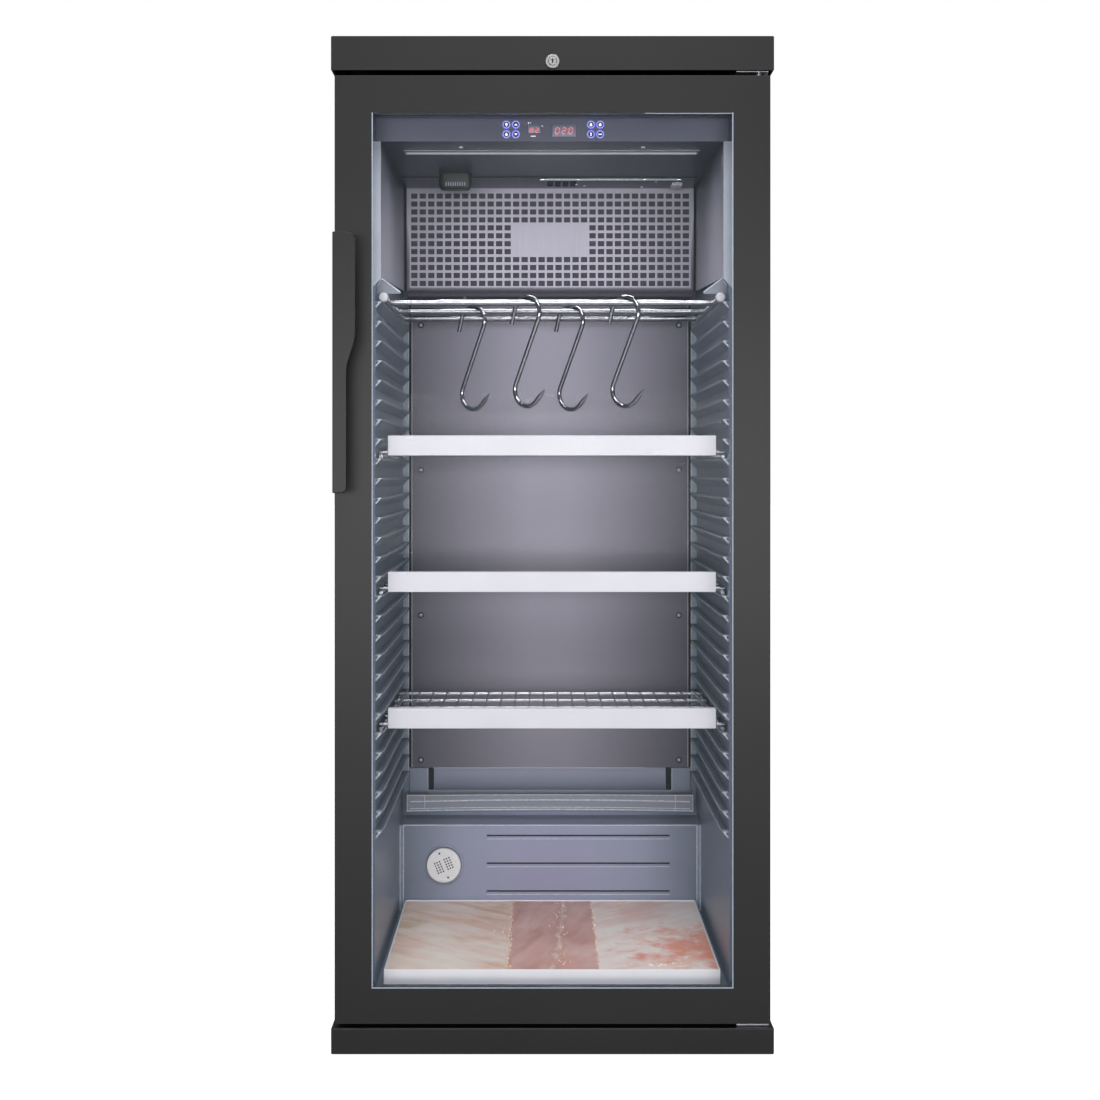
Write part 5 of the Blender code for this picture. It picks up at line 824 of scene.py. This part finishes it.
# Air sensor: temperature and humidity behind a row of slots, in a dark rounded housing that hangs
# under the canopy.
SQUARENESS = 0.45
SENSOR_SIDES = 48
SENSOR_SLOTS = 9
SLOT_WIDE, SLOT_PITCH = 0.0014, 0.0036
sensor_low, sensor_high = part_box("air_sensor")
middle_x, middle_y = (sensor_low.x + sensor_high.x) / 2, (sensor_low.y + sensor_high.y) / 2
half_x, half_y = (sensor_high.x - sensor_low.x) / 2, (sensor_high.y - sensor_low.y) / 2
height = sensor_high.z - sensor_low.z
bm = bmesh.new()
rings = []
for drop, inset in ((0, 0), (0.55, 0.0), (0.78, 0.04), (0.92, 0.14), (1.0, 0.34)):
    ring = []
    for i in range(SENSOR_SIDES):
        c, s = math.cos(2 * math.pi * i / SENSOR_SIDES), math.sin(2 * math.pi * i / SENSOR_SIDES)
        x = math.copysign(abs(c) ** SQUARENESS, c) * half_x * (1 - inset * 0.5)
        y = math.copysign(abs(s) ** SQUARENESS, s) * half_y * (1 - inset)
        ring.append(bm.verts.new((middle_x + x, middle_y + y, sensor_high.z - height * drop)))
    rings.append(ring)
add_band(bm, rings)
bm.faces.new(rings[0])
bm.faces.new(rings[-1])
# The slots are painted a light grey, a painted highlight, so that they show on the dark housing.
for i in range(SENSOR_SLOTS):
    x = middle_x - 0.0145 + SLOT_PITCH * i
    outline = oblong(x, sensor_low.z + 0.0045, x + SLOT_WIDE, sensor_low.z + 0.0105)
    add_plate(bm, outline, sensor_low.y - 0.0002, 0.0015, 1)
fit("air_sensor_dressed", bm, (black_plastic, facet_plastic), "cabinet", "dark_plastic", "air_sensor")

# Evaporator cover: a stainless sheet with rows of punched square holes round a plain middle. A dark
# fleece behind it keeps dust off the finned coil and its fan. The sheet is finely brushed, and the
# brush lines are drawn a little coarser than they are, so that they show.
BRUSH = (0.0012, 0.0012, 0.09)
COVER_HALF = 0.2376
brushed_steel = finish("brushed stainless steel", Metallic=0.35, Roughness=0.45)
lay(brushed_steel, BRUSH, {"Detail": 4}, ("#aaa6b5", "#b4b1bf"), (0.38, 0.5))
ease("evaporator_cover", brushed_steel)
bm = bmesh.new()
add_block(bm, (-0.2364, 0.1341, 1.2560), (0.2364, 0.1349, 1.2584))
for side in (-1, 1):
    x = side * COVER_HALF
    add_block(bm, (x - 0.0009, 0.1332, 1.0885), (x + 0.0009, 0.1338, 1.2584), 1)
fit("cover_top_lip", bm, (brushed_steel, shade), "cabinet", "stainless", edge=0.0003)
fleece = finish("spun polyester fleece", Roughness=0.95)
lay(fleece, 0.0012, {"Detail": 4}, ("#4d4a57", "#5a5764"), relief=(0.5, 0.0005))
# The strip of fleece under the cover's lower edge is dark as a painted shadow of the cover.
for name, low, high in (
    ("dust_fleece", (-0.2345, 0.1385, 1.0905), (0.2345, 0.1415, 1.2570)),
    ("cover_shadow_strip", (-0.2362, 0.1400, 1.0804), (0.2362, 0.1775, 1.0884)),
):
    bm = bmesh.new()
    add_block(bm, low, high)
    fit(name, bm, fleece, "cabinet", "dark_plastic", edge=0.0005)
# Fins: bright edges with dark gaps between them, painted as bands, a painted highlight and painted shade.
fin_aluminium = finish("finned aluminium", Metallic=0.9, Roughness=0.4)
fin_edge_and_gap_tones = ((0.0, "#6f7378"), (1.0, "#b9bdc2"))
lay(fin_aluminium, 0.018, {"bands_direction": "X"}, fin_edge_and_gap_tones, relief=(0.6, 0.001), kind="TexWave")
ease("evaporator_coil", fin_aluminium)
ease("fan_frame", black_plastic, 0.0005)
ease("fan_rotor", black_plastic, 0.0003)

# Rear duct panel: a stainless sheet that closes the air duct at the chamber's back, held by four pairs of
# screws. It is brushed upright. Its colour is painted lighter in its middle and darker towards the sides, a
# painted sheen, and lighter towards the top, a painted light.
duct_steel = finish("upright brushed stainless steel", Metallic=0.35, Roughness=0.42)
brush = lay(duct_steel, BRUSH, {"Detail": 4}, gloss=(0.36, 0.48))
# Painted sheen: lighter in the middle, darker towards the sides.
duct_sheen_tones = ((0.0, "#9894a3"), (0.5, "#7f7c8b"), (1.0, "#605e6b"))
tone = grade(duct_steel, way_along(duct_steel, "X", 0.03, 0.23, 0.9), brush, 0.1, duct_sheen_tones)
# Painted light: the colour grows lighter towards the top.
duct_light_fall_tones = ((0.0, "#d6d6d6"), (0.6, "#dedede"), (0.9, "#ffffff"))
upward = way_along(duct_steel, "Z", 0.29, 1.09)
light_fall = add_node(duct_steel, "ValToRGB", {"stops": duct_light_fall_tones}, {"Fac": upward})
multiply = {"data_type": "RGBA", "blend_type": "MULTIPLY", 0: 1.0}
feed(duct_steel, Base_Color=add_node(duct_steel, "Mix", multiply, {6: tone, 7: light_fall}))
ease("rear_duct_panel", duct_steel, 0.0005)
duct_low, duct_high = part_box("rear_duct_panel")
bm = bmesh.new()
for x in (-0.2165, 0.2165):
    for z in (1.037, 0.794, 0.550, 0.307):
        add_screw(bm, (x, duct_low.y - 0.0003, z), (0, -1, 0), 0.0026)
        add_turned(bm, disc(0.0050, 0.0003), (x, duct_low.y, z), (0, -1, 0), 24, 1)
fit("duct_screws", bm, (white_plastic, shade), "cabinet", "chrome")
bm = bmesh.new()
# The light lines along the panel's folded edges are painted highlights, and the dark strips beside them
# painted shade.
for side in (-1, 1):
    for x, half, front, back, finish_number in (
        (side * 0.2317, 0.0006, 0.1774, 0.1782, 0), (side * 0.2345, 0.0022, 0.1815, 0.1822, 1)
    ):
        add_block(bm, (x - half, front, duct_low.z), (x + half, back, duct_high.z), finish_number)
add_block(bm, (-0.196, 0.1772, duct_low.z - 0.0008), (0.160, 0.1785, duct_low.z + 0.0004))
fit("duct_edges", bm, (brushed_steel, shade), "cabinet", "stainless", edge=0.0002)


# Drip channel: a clear trough under the duct, with thickened lips along its front, that leads the run-off
# water to the drain. Pale rods along its lips and at its ends stand for the light that the lips catch in two
# long lines: painted highlights.
def add_rod(bm, path, radii, sides=20, finish_number=0):
    """A round rod along a path, with one radius for all of it or one a point, closed at both ends."""
    path = [Vector(point) for point in path]
    if not isinstance(radii, (list, tuple)):
        radii = [radii] * len(path)
    turn = (path[1] - path[0]).to_track_quat("Z", "Y")
    angles = [2 * math.pi * n / sides for n in range(sides)]
    rings = []
    for i, (point, radius) in enumerate(zip(path, radii)):
        way = path[min(i + 1, len(path) - 1)] - path[max(i - 1, 0)]
        turn = (turn @ Vector((0, 0, 1))).rotation_difference(way) @ turn
        across = [Vector((radius * math.cos(a), radius * math.sin(a), 0)) for a in angles]
        rings.append([bm.verts.new(point + turn @ offset) for offset in across])
    add_band(bm, rings, finish_number)
    for ring in (rings[0][::-1], rings[-1]):
        bm.faces.new(ring).material_index = finish_number


LIP_Y = 0.1494
LIP_STEPS = 12
trough_tint = linear("#c9cddc")
clear_plastic = finish("clear polycarbonate", Base_Color=trough_tint, Roughness=0.12, IOR=1.58, Alpha=0.5)
lay(clear_plastic, 0.03, gloss=(0.08, 0.2))
ease("drip_channel", clear_plastic, 0.0006)
bm = bmesh.new()
for z, arch, half, radius in (
    (0.2534, 0.0016, 0.2372, 0.0008), (0.2432, 0.0032, 0.2320, 0.0013),
    (0.2318, 0.0026, 0.2320, 0.0008), (0.2280, 0.0028, 0.2372, 0.0012),
):
    shares = [i / LIP_STEPS for i in range(-LIP_STEPS, LIP_STEPS + 1)]
    add_rod(bm, [(half * share, LIP_Y, z + arch * (1 - share**2)) for share in shares], radius, 8)
for side in (-1, 1):
    for x in (0.2372, 0.2080):
        add_rod(bm, [(side * x, LIP_Y, 0.2284), (side * x, LIP_Y, 0.2540)], 0.0006, 8)
fit("drip_channel_lips", bm, highlight_plastic, "cabinet", "clear_plastic")

# Hanging rails: two side bars that lie on the top ribs, with three rails welded between them. Polished
# stainless rod mirrors the light in one bright line. White caps close the side bars' front ends, under
# clear plastic brackets.
polished_steel = finish("polished stainless steel", Metallic=1.0, Roughness=0.12)
lay(polished_steel, 0.004, {"Detail": 3}, ("#8f9098", "#aeafb6"), (0.09, 0.15))
RAIL_Z = 1.0358
RAIL_RADIUS = 0.005
FRONT_RAIL, MIDDLE_RAIL, REAR_RAIL = -0.150, -0.040, 0.062
BAR_RADIUS = 0.006
CAP_RADIUS = 0.0066
CAP_BORE = BAR_RADIUS + 0.0001
rail_low, rail_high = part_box("hanging_rail_frame")
bar_x = rail_high.x - BAR_RADIUS
bm = bmesh.new()
for x in (-bar_x, bar_x):
    add_rod(bm, [(x, rail_low.y, RAIL_Z), (x, rail_high.y, RAIL_Z)], BAR_RADIUS, 32)
for y in (FRONT_RAIL, MIDDLE_RAIL, REAR_RAIL):
    add_rod(bm, [(-bar_x, y, RAIL_Z), (bar_x, y, RAIL_Z)], RAIL_RADIUS, 32)
fit("hanging_rails", bm, polished_steel, "cabinet", "chrome", "hanging_rail_frame", edge=0.0004)
cap = (
    (0, 0), (CAP_RADIUS * 0.6, 0.0002), (CAP_RADIUS * 0.88, 0.0009), (CAP_RADIUS, 0.0026),
    (CAP_RADIUS, 0.009), (CAP_BORE, 0.009), (CAP_BORE, 0.0035), (0, 0.0035),
)
bm = bmesh.new()
for x in (-bar_x, bar_x):
    add_turned(bm, cap, (x, rail_low.y - 0.0038, RAIL_Z), BACKWARD, 32)
fit("rail_end_caps", bm, white_plastic, "cabinet", "white_plastic")
GUSSET_FRONT = -0.1995
gusset = [(0.2464, 1.0530), (0.2405, 1.0640), (0.2140, 1.0445), (0.2140, 1.0425), (0.2464, 1.0425)]
bm = bmesh.new()
for side in (-1, 1):
    corners = [(side * x, z) for x, z in gusset]
    add_plate(bm, corners, GUSSET_FRONT, 0.0012)
    # Pale rods along two edges of each bracket are painted highlights.
    for (x0, z0), (x1, z1) in zip(corners, corners[1:3]):
        add_rod(bm, [(x0, GUSSET_FRONT - 0.0003, z0), (x1, GUSSET_FRONT - 0.0003, z1)], 0.0009, 8, 1)
fit("rail_gussets", bm, (clear_plastic, highlight_plastic), "cabinet", "clear_plastic")

# Hooks: four S-hooks, each bent from 6.6 mm stainless rod, with a point ground on its lower end. They
# hang on the rails by their upper bend and can swing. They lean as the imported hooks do, whose upper
# end is short, so that end is lengthened only after the balance is found.
HOOK_RADIUS = 0.0033
HOOK_HEIGHT = 0.165
HOOK_BEND = 0.024
HOOK_START = math.radians(195)
HOOK_END = math.radians(315)
HOOK_TURN = math.radians(40)
HOOK_DROP = HOOK_BEND - HOOK_RADIUS - RAIL_RADIUS - 0.0003
HOOK_SHORT_END = 0.008
HOOK_FREE_END = 0.020
HOOK_POINT = 0.009
HOOK_TIP = 0.013
HOOK_X = (-0.1190, -0.0360, 0.0300, 0.1060)
ARC_STEPS = 24
ARC_CUT = 4
drop = HOOK_HEIGHT - 2 * (HOOK_BEND + HOOK_RADIUS)
lean = math.asin(2 * HOOK_BEND / drop)
upper = [HOOK_START + (-lean - HOOK_START) * i / ARC_STEPS for i in range(ARC_STEPS + 1)]
lower_start = math.pi - lean
lower = [lower_start + (HOOK_END - lower_start) * i / ARC_STEPS for i in range(ARC_STEPS + 1)]
line = [Vector((HOOK_BEND * math.cos(a), HOOK_BEND * math.sin(a))) for a in upper]
line.insert(0, line[0] + HOOK_SHORT_END * Vector((math.sin(HOOK_START), -math.cos(HOOK_START))))
line += [Vector((HOOK_BEND * math.cos(a), HOOK_BEND * math.sin(a) - drop)) for a in lower]
rise = Vector((-math.sin(HOOK_END), math.cos(HOOK_END)))
line.append(line[-1] + HOOK_POINT * rise)
line.append(line[-1] + HOOK_TIP * rise)
lengths = [(b - a).length for a, b in zip(line, line[1:])]
middles = [(a + b) / 2 for a, b in zip(line, line[1:])]
balance = sum((m * n for m, n in zip(middles, lengths)), Vector((0, 0))) / sum(lengths)
level = Matrix.Rotation(-math.atan2(balance.x, -balance.y), 2)
line = [level @ point for point in line]
line[:ARC_CUT] = [line[ARC_CUT] + HOOK_FREE_END * (line[ARC_CUT] - line[ARC_CUT + 1]).normalized()]
radii = [HOOK_RADIUS] * (len(line) - 1) + [HOOK_RADIUS * 0.12]
for number, x in enumerate(HOOK_X, 1):
    y = MIDDLE_RAIL if number % 2 else FRONT_RAIL
    along, back, middle_z = math.cos(HOOK_TURN), math.sin(HOOK_TURN), RAIL_Z - HOOK_DROP
    bm = bmesh.new()
    add_rod(bm, [(x + p.x * along, y - p.x * back, middle_z + p.y) for p in line], radii)
    fit(f"hook_{number}_bent", bm, polished_steel, f"hook_{number}", "chrome", f"hook_{number}")

# Shelves: each a deck of zinc plated wires, welded to thicker cross rods, which lies on a pair of ribs,
# with a white moulded trim clipped to its front edge.
ROD = 0.003
ROD_COUNT = 5
WIRE = 0.0015
WIRE_COUNT = 22
WIRE_HALF = 0.231
# Plated wire is bright, but mirrors less sharply than polished rod.
drawn_wire = finish("bright zinc plated wire", Metallic=0.95, Roughness=0.26)
lay(drawn_wire, 0.003, None, ("#a9abb2", "#c8cad0"))
for number in (1, 2, 3):
    deck = f"shelf_{number}_deck"
    deck_low, deck_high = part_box(deck)
    side_z = deck_low.z + ROD
    cross_z = side_z + 2 * ROD
    wire_z = deck_high.z - WIRE
    bm = bmesh.new()
    for x in (ROD - deck_high.x, deck_high.x - ROD):
        add_rod(bm, [(x, deck_low.y, side_z), (x, deck_high.y, side_z)], ROD)
    for rod in range(ROD_COUNT):
        y = deck_low.y + 2 * ROD + (deck_high.y - deck_low.y - 4 * ROD) * rod / (ROD_COUNT - 1)
        add_rod(bm, [(deck_low.x, y, cross_z), (deck_high.x, y, cross_z)], ROD)
    for wire in range(WIRE_COUNT):
        x = -WIRE_HALF + 2 * WIRE_HALF * wire / (WIRE_COUNT - 1)
        add_rod(bm, [(x, deck_low.y, wire_z), (x, deck_high.y, wire_z)], WIRE, 12)
    fit(f"shelf_{number}_wires", bm, drawn_wire, f"shelf_{number}", "chrome", deck, edge=0.0003)
    ease(f"shelf_{number}_trim", white_plastic, 0.0008, 3)

# Salt tray: a shallow white tray on the chamber's floor, packed with three sawn blocks of rock salt,
# whose seams lie tight. Iron and clay stain the salt from cream to red, and sawing leaves it uneven.
# Each block has its tones from deep to pale, its streaks' turn, a stained corner and a broken vein.
ease("salt_tray", bright_white, 0.0008, 3)
STREAK = (0.11, 0.024, 0.03)
SALT_CLOUD = 0.11
BLOTCH = 0.045
WANDER = 0.030
CRYSTAL = 0.0065
SAW_MARK = 0.0018
CELL = 0.0045
WEAR = 0.0014
SALT_BLOCKS = {
    "left": {
        "tones": ("#e5b89d", "#f3ddd1", "#f8eee4"), "streak_turn": -0.55,
        "stain": "#cfa873", "stain_place": (-0.240, 0.00, 0.09), "stain_reach": 0.100, "stain_most": 0.6,
        "vein_place": (-0.139, 0.002), "vein_turn": -0.65, "vein_half": 0.0030,
    },
    "middle": {
        "tones": ("#c99489", "#dcb0a8", "#e8c6be"), "streak_turn": 1.25,
        "stain": "#e0a094", "stain_place": (0.010, -0.17, 0.09), "stain_reach": 0.100, "stain_most": 0.5,
        "vein_place": (0.016, 0.0), "vein_turn": 1.5, "vein_half": 0.0065,
    },
    "right": {
        "tones": ("#f4d0c5", "#fbe9e2", "#fdf5f1"), "streak_turn": 0.6,
        "stain": "#f6a28a", "stain_place": (0.225, -0.110, 0.09), "stain_reach": 0.245, "stain_most": 0.95,
        "vein_place": (0.150, -0.181), "vein_turn": 0.25, "vein_half": 0.0024,
    },
}
for side, look in SALT_BLOCKS.items():
    deep, body, pale = look["tones"]
    # Clay lies in long streaks through a soft cloud of colour.
    salt = finish(f"sawn rock salt {side}", Roughness=0.5, IOR=1.54, Specular_IOR_Level=0.25)
    place = add_node(salt, "TexCoord").outputs["Object"]
    way = {"vector_type": "TEXTURE", "Rotation": (0, 0, look["streak_turn"]), "Scale": STREAK}
    streak_way = add_node(salt, "Mapping", way, {"Vector": place})
    drawn = {"Scale": 1.0, "Detail": 6, "Roughness": 0.6, "Distortion": 0.5}
    streak = add_node(salt, "TexNoise", drawn, {"Vector": streak_way})
    clouded = {"Scale": 1 / SALT_CLOUD, "Detail": 5, "Roughness": 0.6}
    cloud = add_node(salt, "TexNoise", clouded, {"Vector": place})
    mixed = add_node(salt, "Mix", {"data_type": "FLOAT", 0: 0.45}, {2: cloud, 3: streak})
    tone = add_node(salt, "ValToRGB", {"stops": ((0.38, deep), (0.5, body), (0.62, pale))}, {"Fac": mixed})

    # Iron has soaked in from one corner, and its stain breaks up into blotches as it fades.
    reach = look["stain_reach"]
    distance = add_node(salt, "VectorMath", {"operation": "DISTANCE", 1: look["stain_place"]}, {0: place})
    fading = {"From Min": 0.15 * reach, "From Max": reach, "To Min": 0.62, "To Max": 0.2}
    near = add_node(salt, "MapRange", fading, {"Value": distance})
    blotched = {"Scale": 1 / BLOTCH, "Detail": 8, "Roughness": 0.65}
    blotch = add_node(salt, "TexNoise", blotched, {"Vector": place})
    patchy = add_node(salt, "Math", {"operation": "SUBTRACT"}, {0: near, 1: blotch})
    soaked = {"From Min": -0.04, "From Max": 0.14, "To Max": look["stain_most"]}
    amount = add_node(salt, "MapRange", soaked, {"Value": patchy})
    stained = add_node(salt, "Mix", {"data_type": "RGBA", 7: linear(look["stain"])}, {0: amount, 6: tone})

    # A pale vein wanders across the block. It is broken in places, and darker along its sides.
    half = look["vein_half"]
    across = (-math.sin(look["vein_turn"]), math.cos(look["vein_turn"]), 0)
    off_line = add_node(salt, "VectorMath", {"operation": "DOT_PRODUCT", 1: across}, {0: place})
    wander = add_node(salt, "TexNoise", {"Scale": 1 / WANDER, "Detail": 5}, {"Vector": place})
    wobble = add_node(salt, "Math", {"operation": "MULTIPLY_ADD", 1: 0.022}, {0: wander, 2: off_line})
    vein_off = 0.011 + across[0] * look["vein_place"][0] + across[1] * look["vein_place"][1]
    centred = add_node(salt, "Math", {"operation": "SUBTRACT", 1: vein_off}, {0: wobble})
    off_vein = add_node(salt, "Math", {"operation": "ABSOLUTE"}, {0: centred})
    vein = add_node(salt, "MapRange", {"From Max": half, "To Min": 0.7, "To Max": 0.0}, {"Value": off_vein})
    gaps = add_node(salt, "MapRange", {"From Min": 0.36, "From Max": 0.54}, {"Value": blotch})
    broken = add_node(salt, "Math", {"operation": "MULTIPLY"}, {0: vein, 1: gaps})
    fading = {"From Min": 0.4 * half, "From Max": 1.6 * half, "To Min": 0.75, "To Max": 0.0}
    crease = add_node(salt, "MapRange", fading, {"Value": off_vein})
    creased = add_node(salt, "Mix", {"data_type": "RGBA", 7: linear(deep)}, {0: crease, 6: stained})

    # Pale dots at the crystals, where the salt is stained, are painted glints, and the saw leaves it finely
    # rough.
    crystal = add_node(salt, "TexVoronoi", {"Scale": 1 / CRYSTAL}, {"Vector": place})
    painted_glint = add_node(salt, "MapRange", {"From Max": 0.2, "To Min": 0.5, "To Max": 0.0}, {"Value": crystal})
    sparse_glint = add_node(salt, "Math", {"operation": "MULTIPLY"}, {0: painted_glint, 1: amount})
    vein_and_glint = add_node(salt, "Math", {"operation": "MAXIMUM"}, {0: sparse_glint, 1: broken})
    finished = add_node(salt, "Mix", {"data_type": "RGBA", 7: linear("#f7e6de")}, {0: vein_and_glint, 6: creased})
    fine = add_node(salt, "TexNoise", {"Scale": 1 / SAW_MARK, "Detail": 4}, {"Vector": place})
    height = add_node(salt, "Math", {"operation": "MULTIPLY_ADD", 1: 0.5}, {0: crystal, 2: fine})
    relief = add_node(salt, "Bump", {"Strength": 0.4, "Distance": 0.0007}, {"Height": height})
    gloss = add_node(salt, "MapRange", {"To Min": 0.3, "To Max": 0.62}, {"Value": blotch})
    feed(salt, Base_Color=finished, Normal=relief, Roughness=gloss)

    # The block has an uneven top with a worn rim, on straight sides.
    low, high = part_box(f"salt_block_{side}")
    columns, rows = round((high.x - low.x) / CELL), round((high.y - low.y) / CELL)
    bm = bmesh.new()
    top = {}
    for i in range(columns + 1):
        for j in range(rows + 1):
            x = low.x + (high.x - low.x) * i / columns
            y = low.y + (high.y - low.y) * j / rows
            rough = noise.fractal(Vector((x, y, 0)) / 0.016, 1.0, 2.0, 4)
            worn = WEAR * (0.5 + 0.4 * rough) if i in (0, columns) or j in (0, rows) else 0
            z = high.z - 0.00035 + 0.00030 * max(-1, min(1, rough)) - worn
            top[i, j] = bm.verts.new((x, y, min(z, high.z)))
    for i in range(columns):
        for j in range(rows):
            bm.faces.new((top[i, j], top[i + 1, j], top[i + 1, j + 1], top[i, j + 1]))
    rim = [top[i, 0] for i in range(columns)] + [top[columns, j] for j in range(rows)]
    rim += [top[i, rows] for i in range(columns, 0, -1)] + [top[0, j] for j in range(rows, 0, -1)]
    foot = [bm.verts.new((v.co.x, v.co.y, low.z)) for v in rim]
    add_band(bm, (rim, foot))
    bm.faces.new(foot)
    fit(f"salt_{side}_sawn", bm, salt, "tray", "salt", f"salt_block_{side}", sharp=0.9)

# Loose grains that sawing and handling leave along the seams, the vein and the worn places. They are
# glossy enough to glint, and some are stained amber.
GRAIN_LEAST, GRAIN_MOST = 0.0006, 0.0013
grain_salt = finish("loose salt grains", Roughness=0.3, IOR=1.54)
lay(grain_salt, 0.006, None, ((0.4, "#e0b67c"), (0.6, "#fbf1ea")))
chance = random.Random(5)
spots = []
for seam in (-0.0615, 0.0665):
    spots += [(seam + chance.gauss(0, 0.0011), chance.uniform(-0.200, 0.112)) for _ in range(110)]
spots += [(0.155 + chance.gauss(0, 0.018), -0.181 + chance.gauss(0, 0.005)) for _ in range(44)]
spots += [(0.016 + chance.gauss(0, 0.007), chance.uniform(-0.190, 0.105)) for _ in range(60)]
spots += [(0.112 + chance.gauss(0, 0.010), 0.098 + chance.gauss(0, 0.006)) for _ in range(14)]
spots += [(-0.085 + chance.gauss(0, 0.016), -0.040 + chance.gauss(0, 0.010)) for _ in range(10)]
grain_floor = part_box("salt_block_left")[1].z - 0.0006
bm = bmesh.new()
for x, y in spots:
    size = chance.uniform(GRAIN_LEAST, GRAIN_MOST)
    turn = chance.uniform(0, math.pi)
    angles = [turn + math.pi * i / 2 for i in range(4)]
    corners = [(size * math.cos(angle), size * math.sin(angle)) for angle in angles]
    foot = [bm.verts.new((x + a, y + b, grain_floor)) for a, b in corners]
    crown = [bm.verts.new((x + a * 0.7, y + b * 0.7, grain_floor + size * 1.3)) for a, b in corners]
    bm.faces.new(foot)
    bm.faces.new(crown)
    add_band(bm, (foot, crown))
fit("salt_grains", bm, grain_salt, "tray", "salt", sharp=0.3)

# Cooling machine: a black enamelled compressor on the base plate, which pumps through a steel tube that
# winds across the back. Thin wires welded to the tube's runs spread its heat into the room's air. The
# enamel is a deep black, whose gloss is uneven where it ran.
black_enamel = finish("black enamelled steel", Roughness=0.3, IOR=1.5)
lay(black_enamel, 0.04, {"Detail": 4}, ("#151516", "#1f1f21"), (0.22, 0.4))
ease("compressor", black_enamel, 0.001)
ease("condenser_bracket", black_enamel)
ease("drain_pan", black_plastic, 0.0008)
ease("power_inlet", black_plastic, 0.0015)
COIL_HALF = 0.240
TUBE_Y = 0.305
TUBE_RADIUS = 0.0025
RUN_FIRST = 0.285
RUN_PITCH = 0.080
RUNS = 12
WINDING = 0.020
WINDING_STEPS = 8
INLET_Y, INLET_Z = 0.240, 0.0853
WIRE_RADIUS = 0.0007
WIRE_PITCH = 0.012
WIRE_COLUMNS = 37
corners = [
    Vector((0.175, INLET_Y, INLET_Z)),
    Vector((COIL_HALF, INLET_Y, INLET_Z)),
    Vector((COIL_HALF, TUBE_Y, INLET_Z)),
    Vector((COIL_HALF, TUBE_Y, RUN_FIRST)),
]
for run in range(RUNS):
    z = RUN_FIRST + run * RUN_PITCH
    start_side = -1 if run % 2 else 1
    if run:
        corners.append(Vector((start_side * COIL_HALF, TUBE_Y, z)))
    corners.append(Vector((-start_side * COIL_HALF, TUBE_Y, z)))
corners.append(Vector((corners[-1].x, 0.2519, corners[-1].z)))
path = [corners[0]]
for before, corner, after in zip(corners, corners[1:], corners[2:]):
    start = corner + (before - corner).normalized() * WINDING
    end = corner + (after - corner).normalized() * WINDING
    for i in range(WINDING_STEPS + 1):
        t = i / WINDING_STEPS
        path.append(start * (1 - t) ** 2 + corner * 2 * t * (1 - t) + end * t**2)
path.append(corners[-1])
bm = bmesh.new()
add_rod(bm, path, TUBE_RADIUS, 12)
wire_low, wire_high = RUN_FIRST - 0.006, RUN_FIRST + (RUNS - 1) * RUN_PITCH + 0.006
for wire in range(WIRE_COLUMNS):
    x = -0.216 + WIRE_PITCH * wire
    for y in (TUBE_Y + TUBE_RADIUS + WIRE_RADIUS * 0.7, TUBE_Y - TUBE_RADIUS - WIRE_RADIUS * 0.7):
        if y > TUBE_Y or not 0.192 < abs(x) < 0.218:
            add_rod(bm, [(x, y, wire_low), (x, y, wire_high)], WIRE_RADIUS, 6)
fit("condenser_wound", bm, black_enamel, "cabinet", "black_metal", "condenser_coil")
bm = bmesh.new()
for x in (-0.289, 0.289):
    for z in (0.185, 0.45, 0.75, 1.05, 1.325):
        add_screw(bm, (x, 0.2515, z), (0, 1, 0), 0.0038)
fit("rear_panel_screws", bm, (nickel, shade), "cabinet", "chrome")

# Studio: a pale floor that takes the cabinet's soft shadow, white all round, and broad lamps at the
# front, so that a colour shows about as it is.
floor_paint = finish("white studio floor", Roughness=0.6, Emission_Color=(1, 1, 1, 1))
lay(floor_paint, 0.5, None, ("#d2d2d2", "#d8d8d8"))
rays = add_node(floor_paint, "LightPath").outputs["Is Camera Ray"]
glow = add_node(floor_paint, "Math", {"operation": "MULTIPLY", 1: 0.95}, {0: rays})
feed(floor_paint, Emission_Strength=glow)
bm = bmesh.new()
bmesh.ops.create_grid(bm, x_segments=2, y_segments=2, size=30)
mesh = bpy.data.meshes.new("floor")
bm.to_mesh(mesh)
bm.free()
mesh.materials.append(floor_paint)
floor = bpy.data.objects.new("floor", mesh)
scene.collection.objects.link(floor)

world = bpy.data.worlds.new("white studio")
world.use_nodes = True
scene.world = world
tree = world.node_tree
seen_sky = tree.nodes["Background"]
seen_sky.inputs["Color"].default_value = (1, 1, 1, 1)
seen_sky.inputs["Strength"].default_value = 1.0
fill_sky = tree.nodes.new("ShaderNodeBackground")
fill_sky.inputs["Color"].default_value = linear("#f4f6ff")
fill_sky.inputs["Strength"].default_value = 0.25
rays = tree.nodes.new("ShaderNodeLightPath")
mix = tree.nodes.new("ShaderNodeMixShader")
tree.links.new(rays.outputs["Is Camera Ray"], mix.inputs[0])
tree.links.new(fill_sky.outputs[0], mix.inputs[1])
tree.links.new(seen_sky.outputs[0], mix.inputs[2])
tree.links.new(mix.outputs[0], tree.nodes["World Output"].inputs["Surface"])

LIT_PLACE = Vector((0, 0, 0.7))
for name, spot, wide, high, watts in (
    ("high softbox", (0.12, -2.0, 3.4), 1.8, 1.8, 80),
    ("level softbox", (0.0, -3.6, 0.78), 3.4, 0.6, 62),
):
    softbox = add_light(name, wide, high, watts, spot)
    softbox.rotation_euler = (LIT_PLACE - Vector(spot)).to_track_quat("-Z", "Y").to_euler()
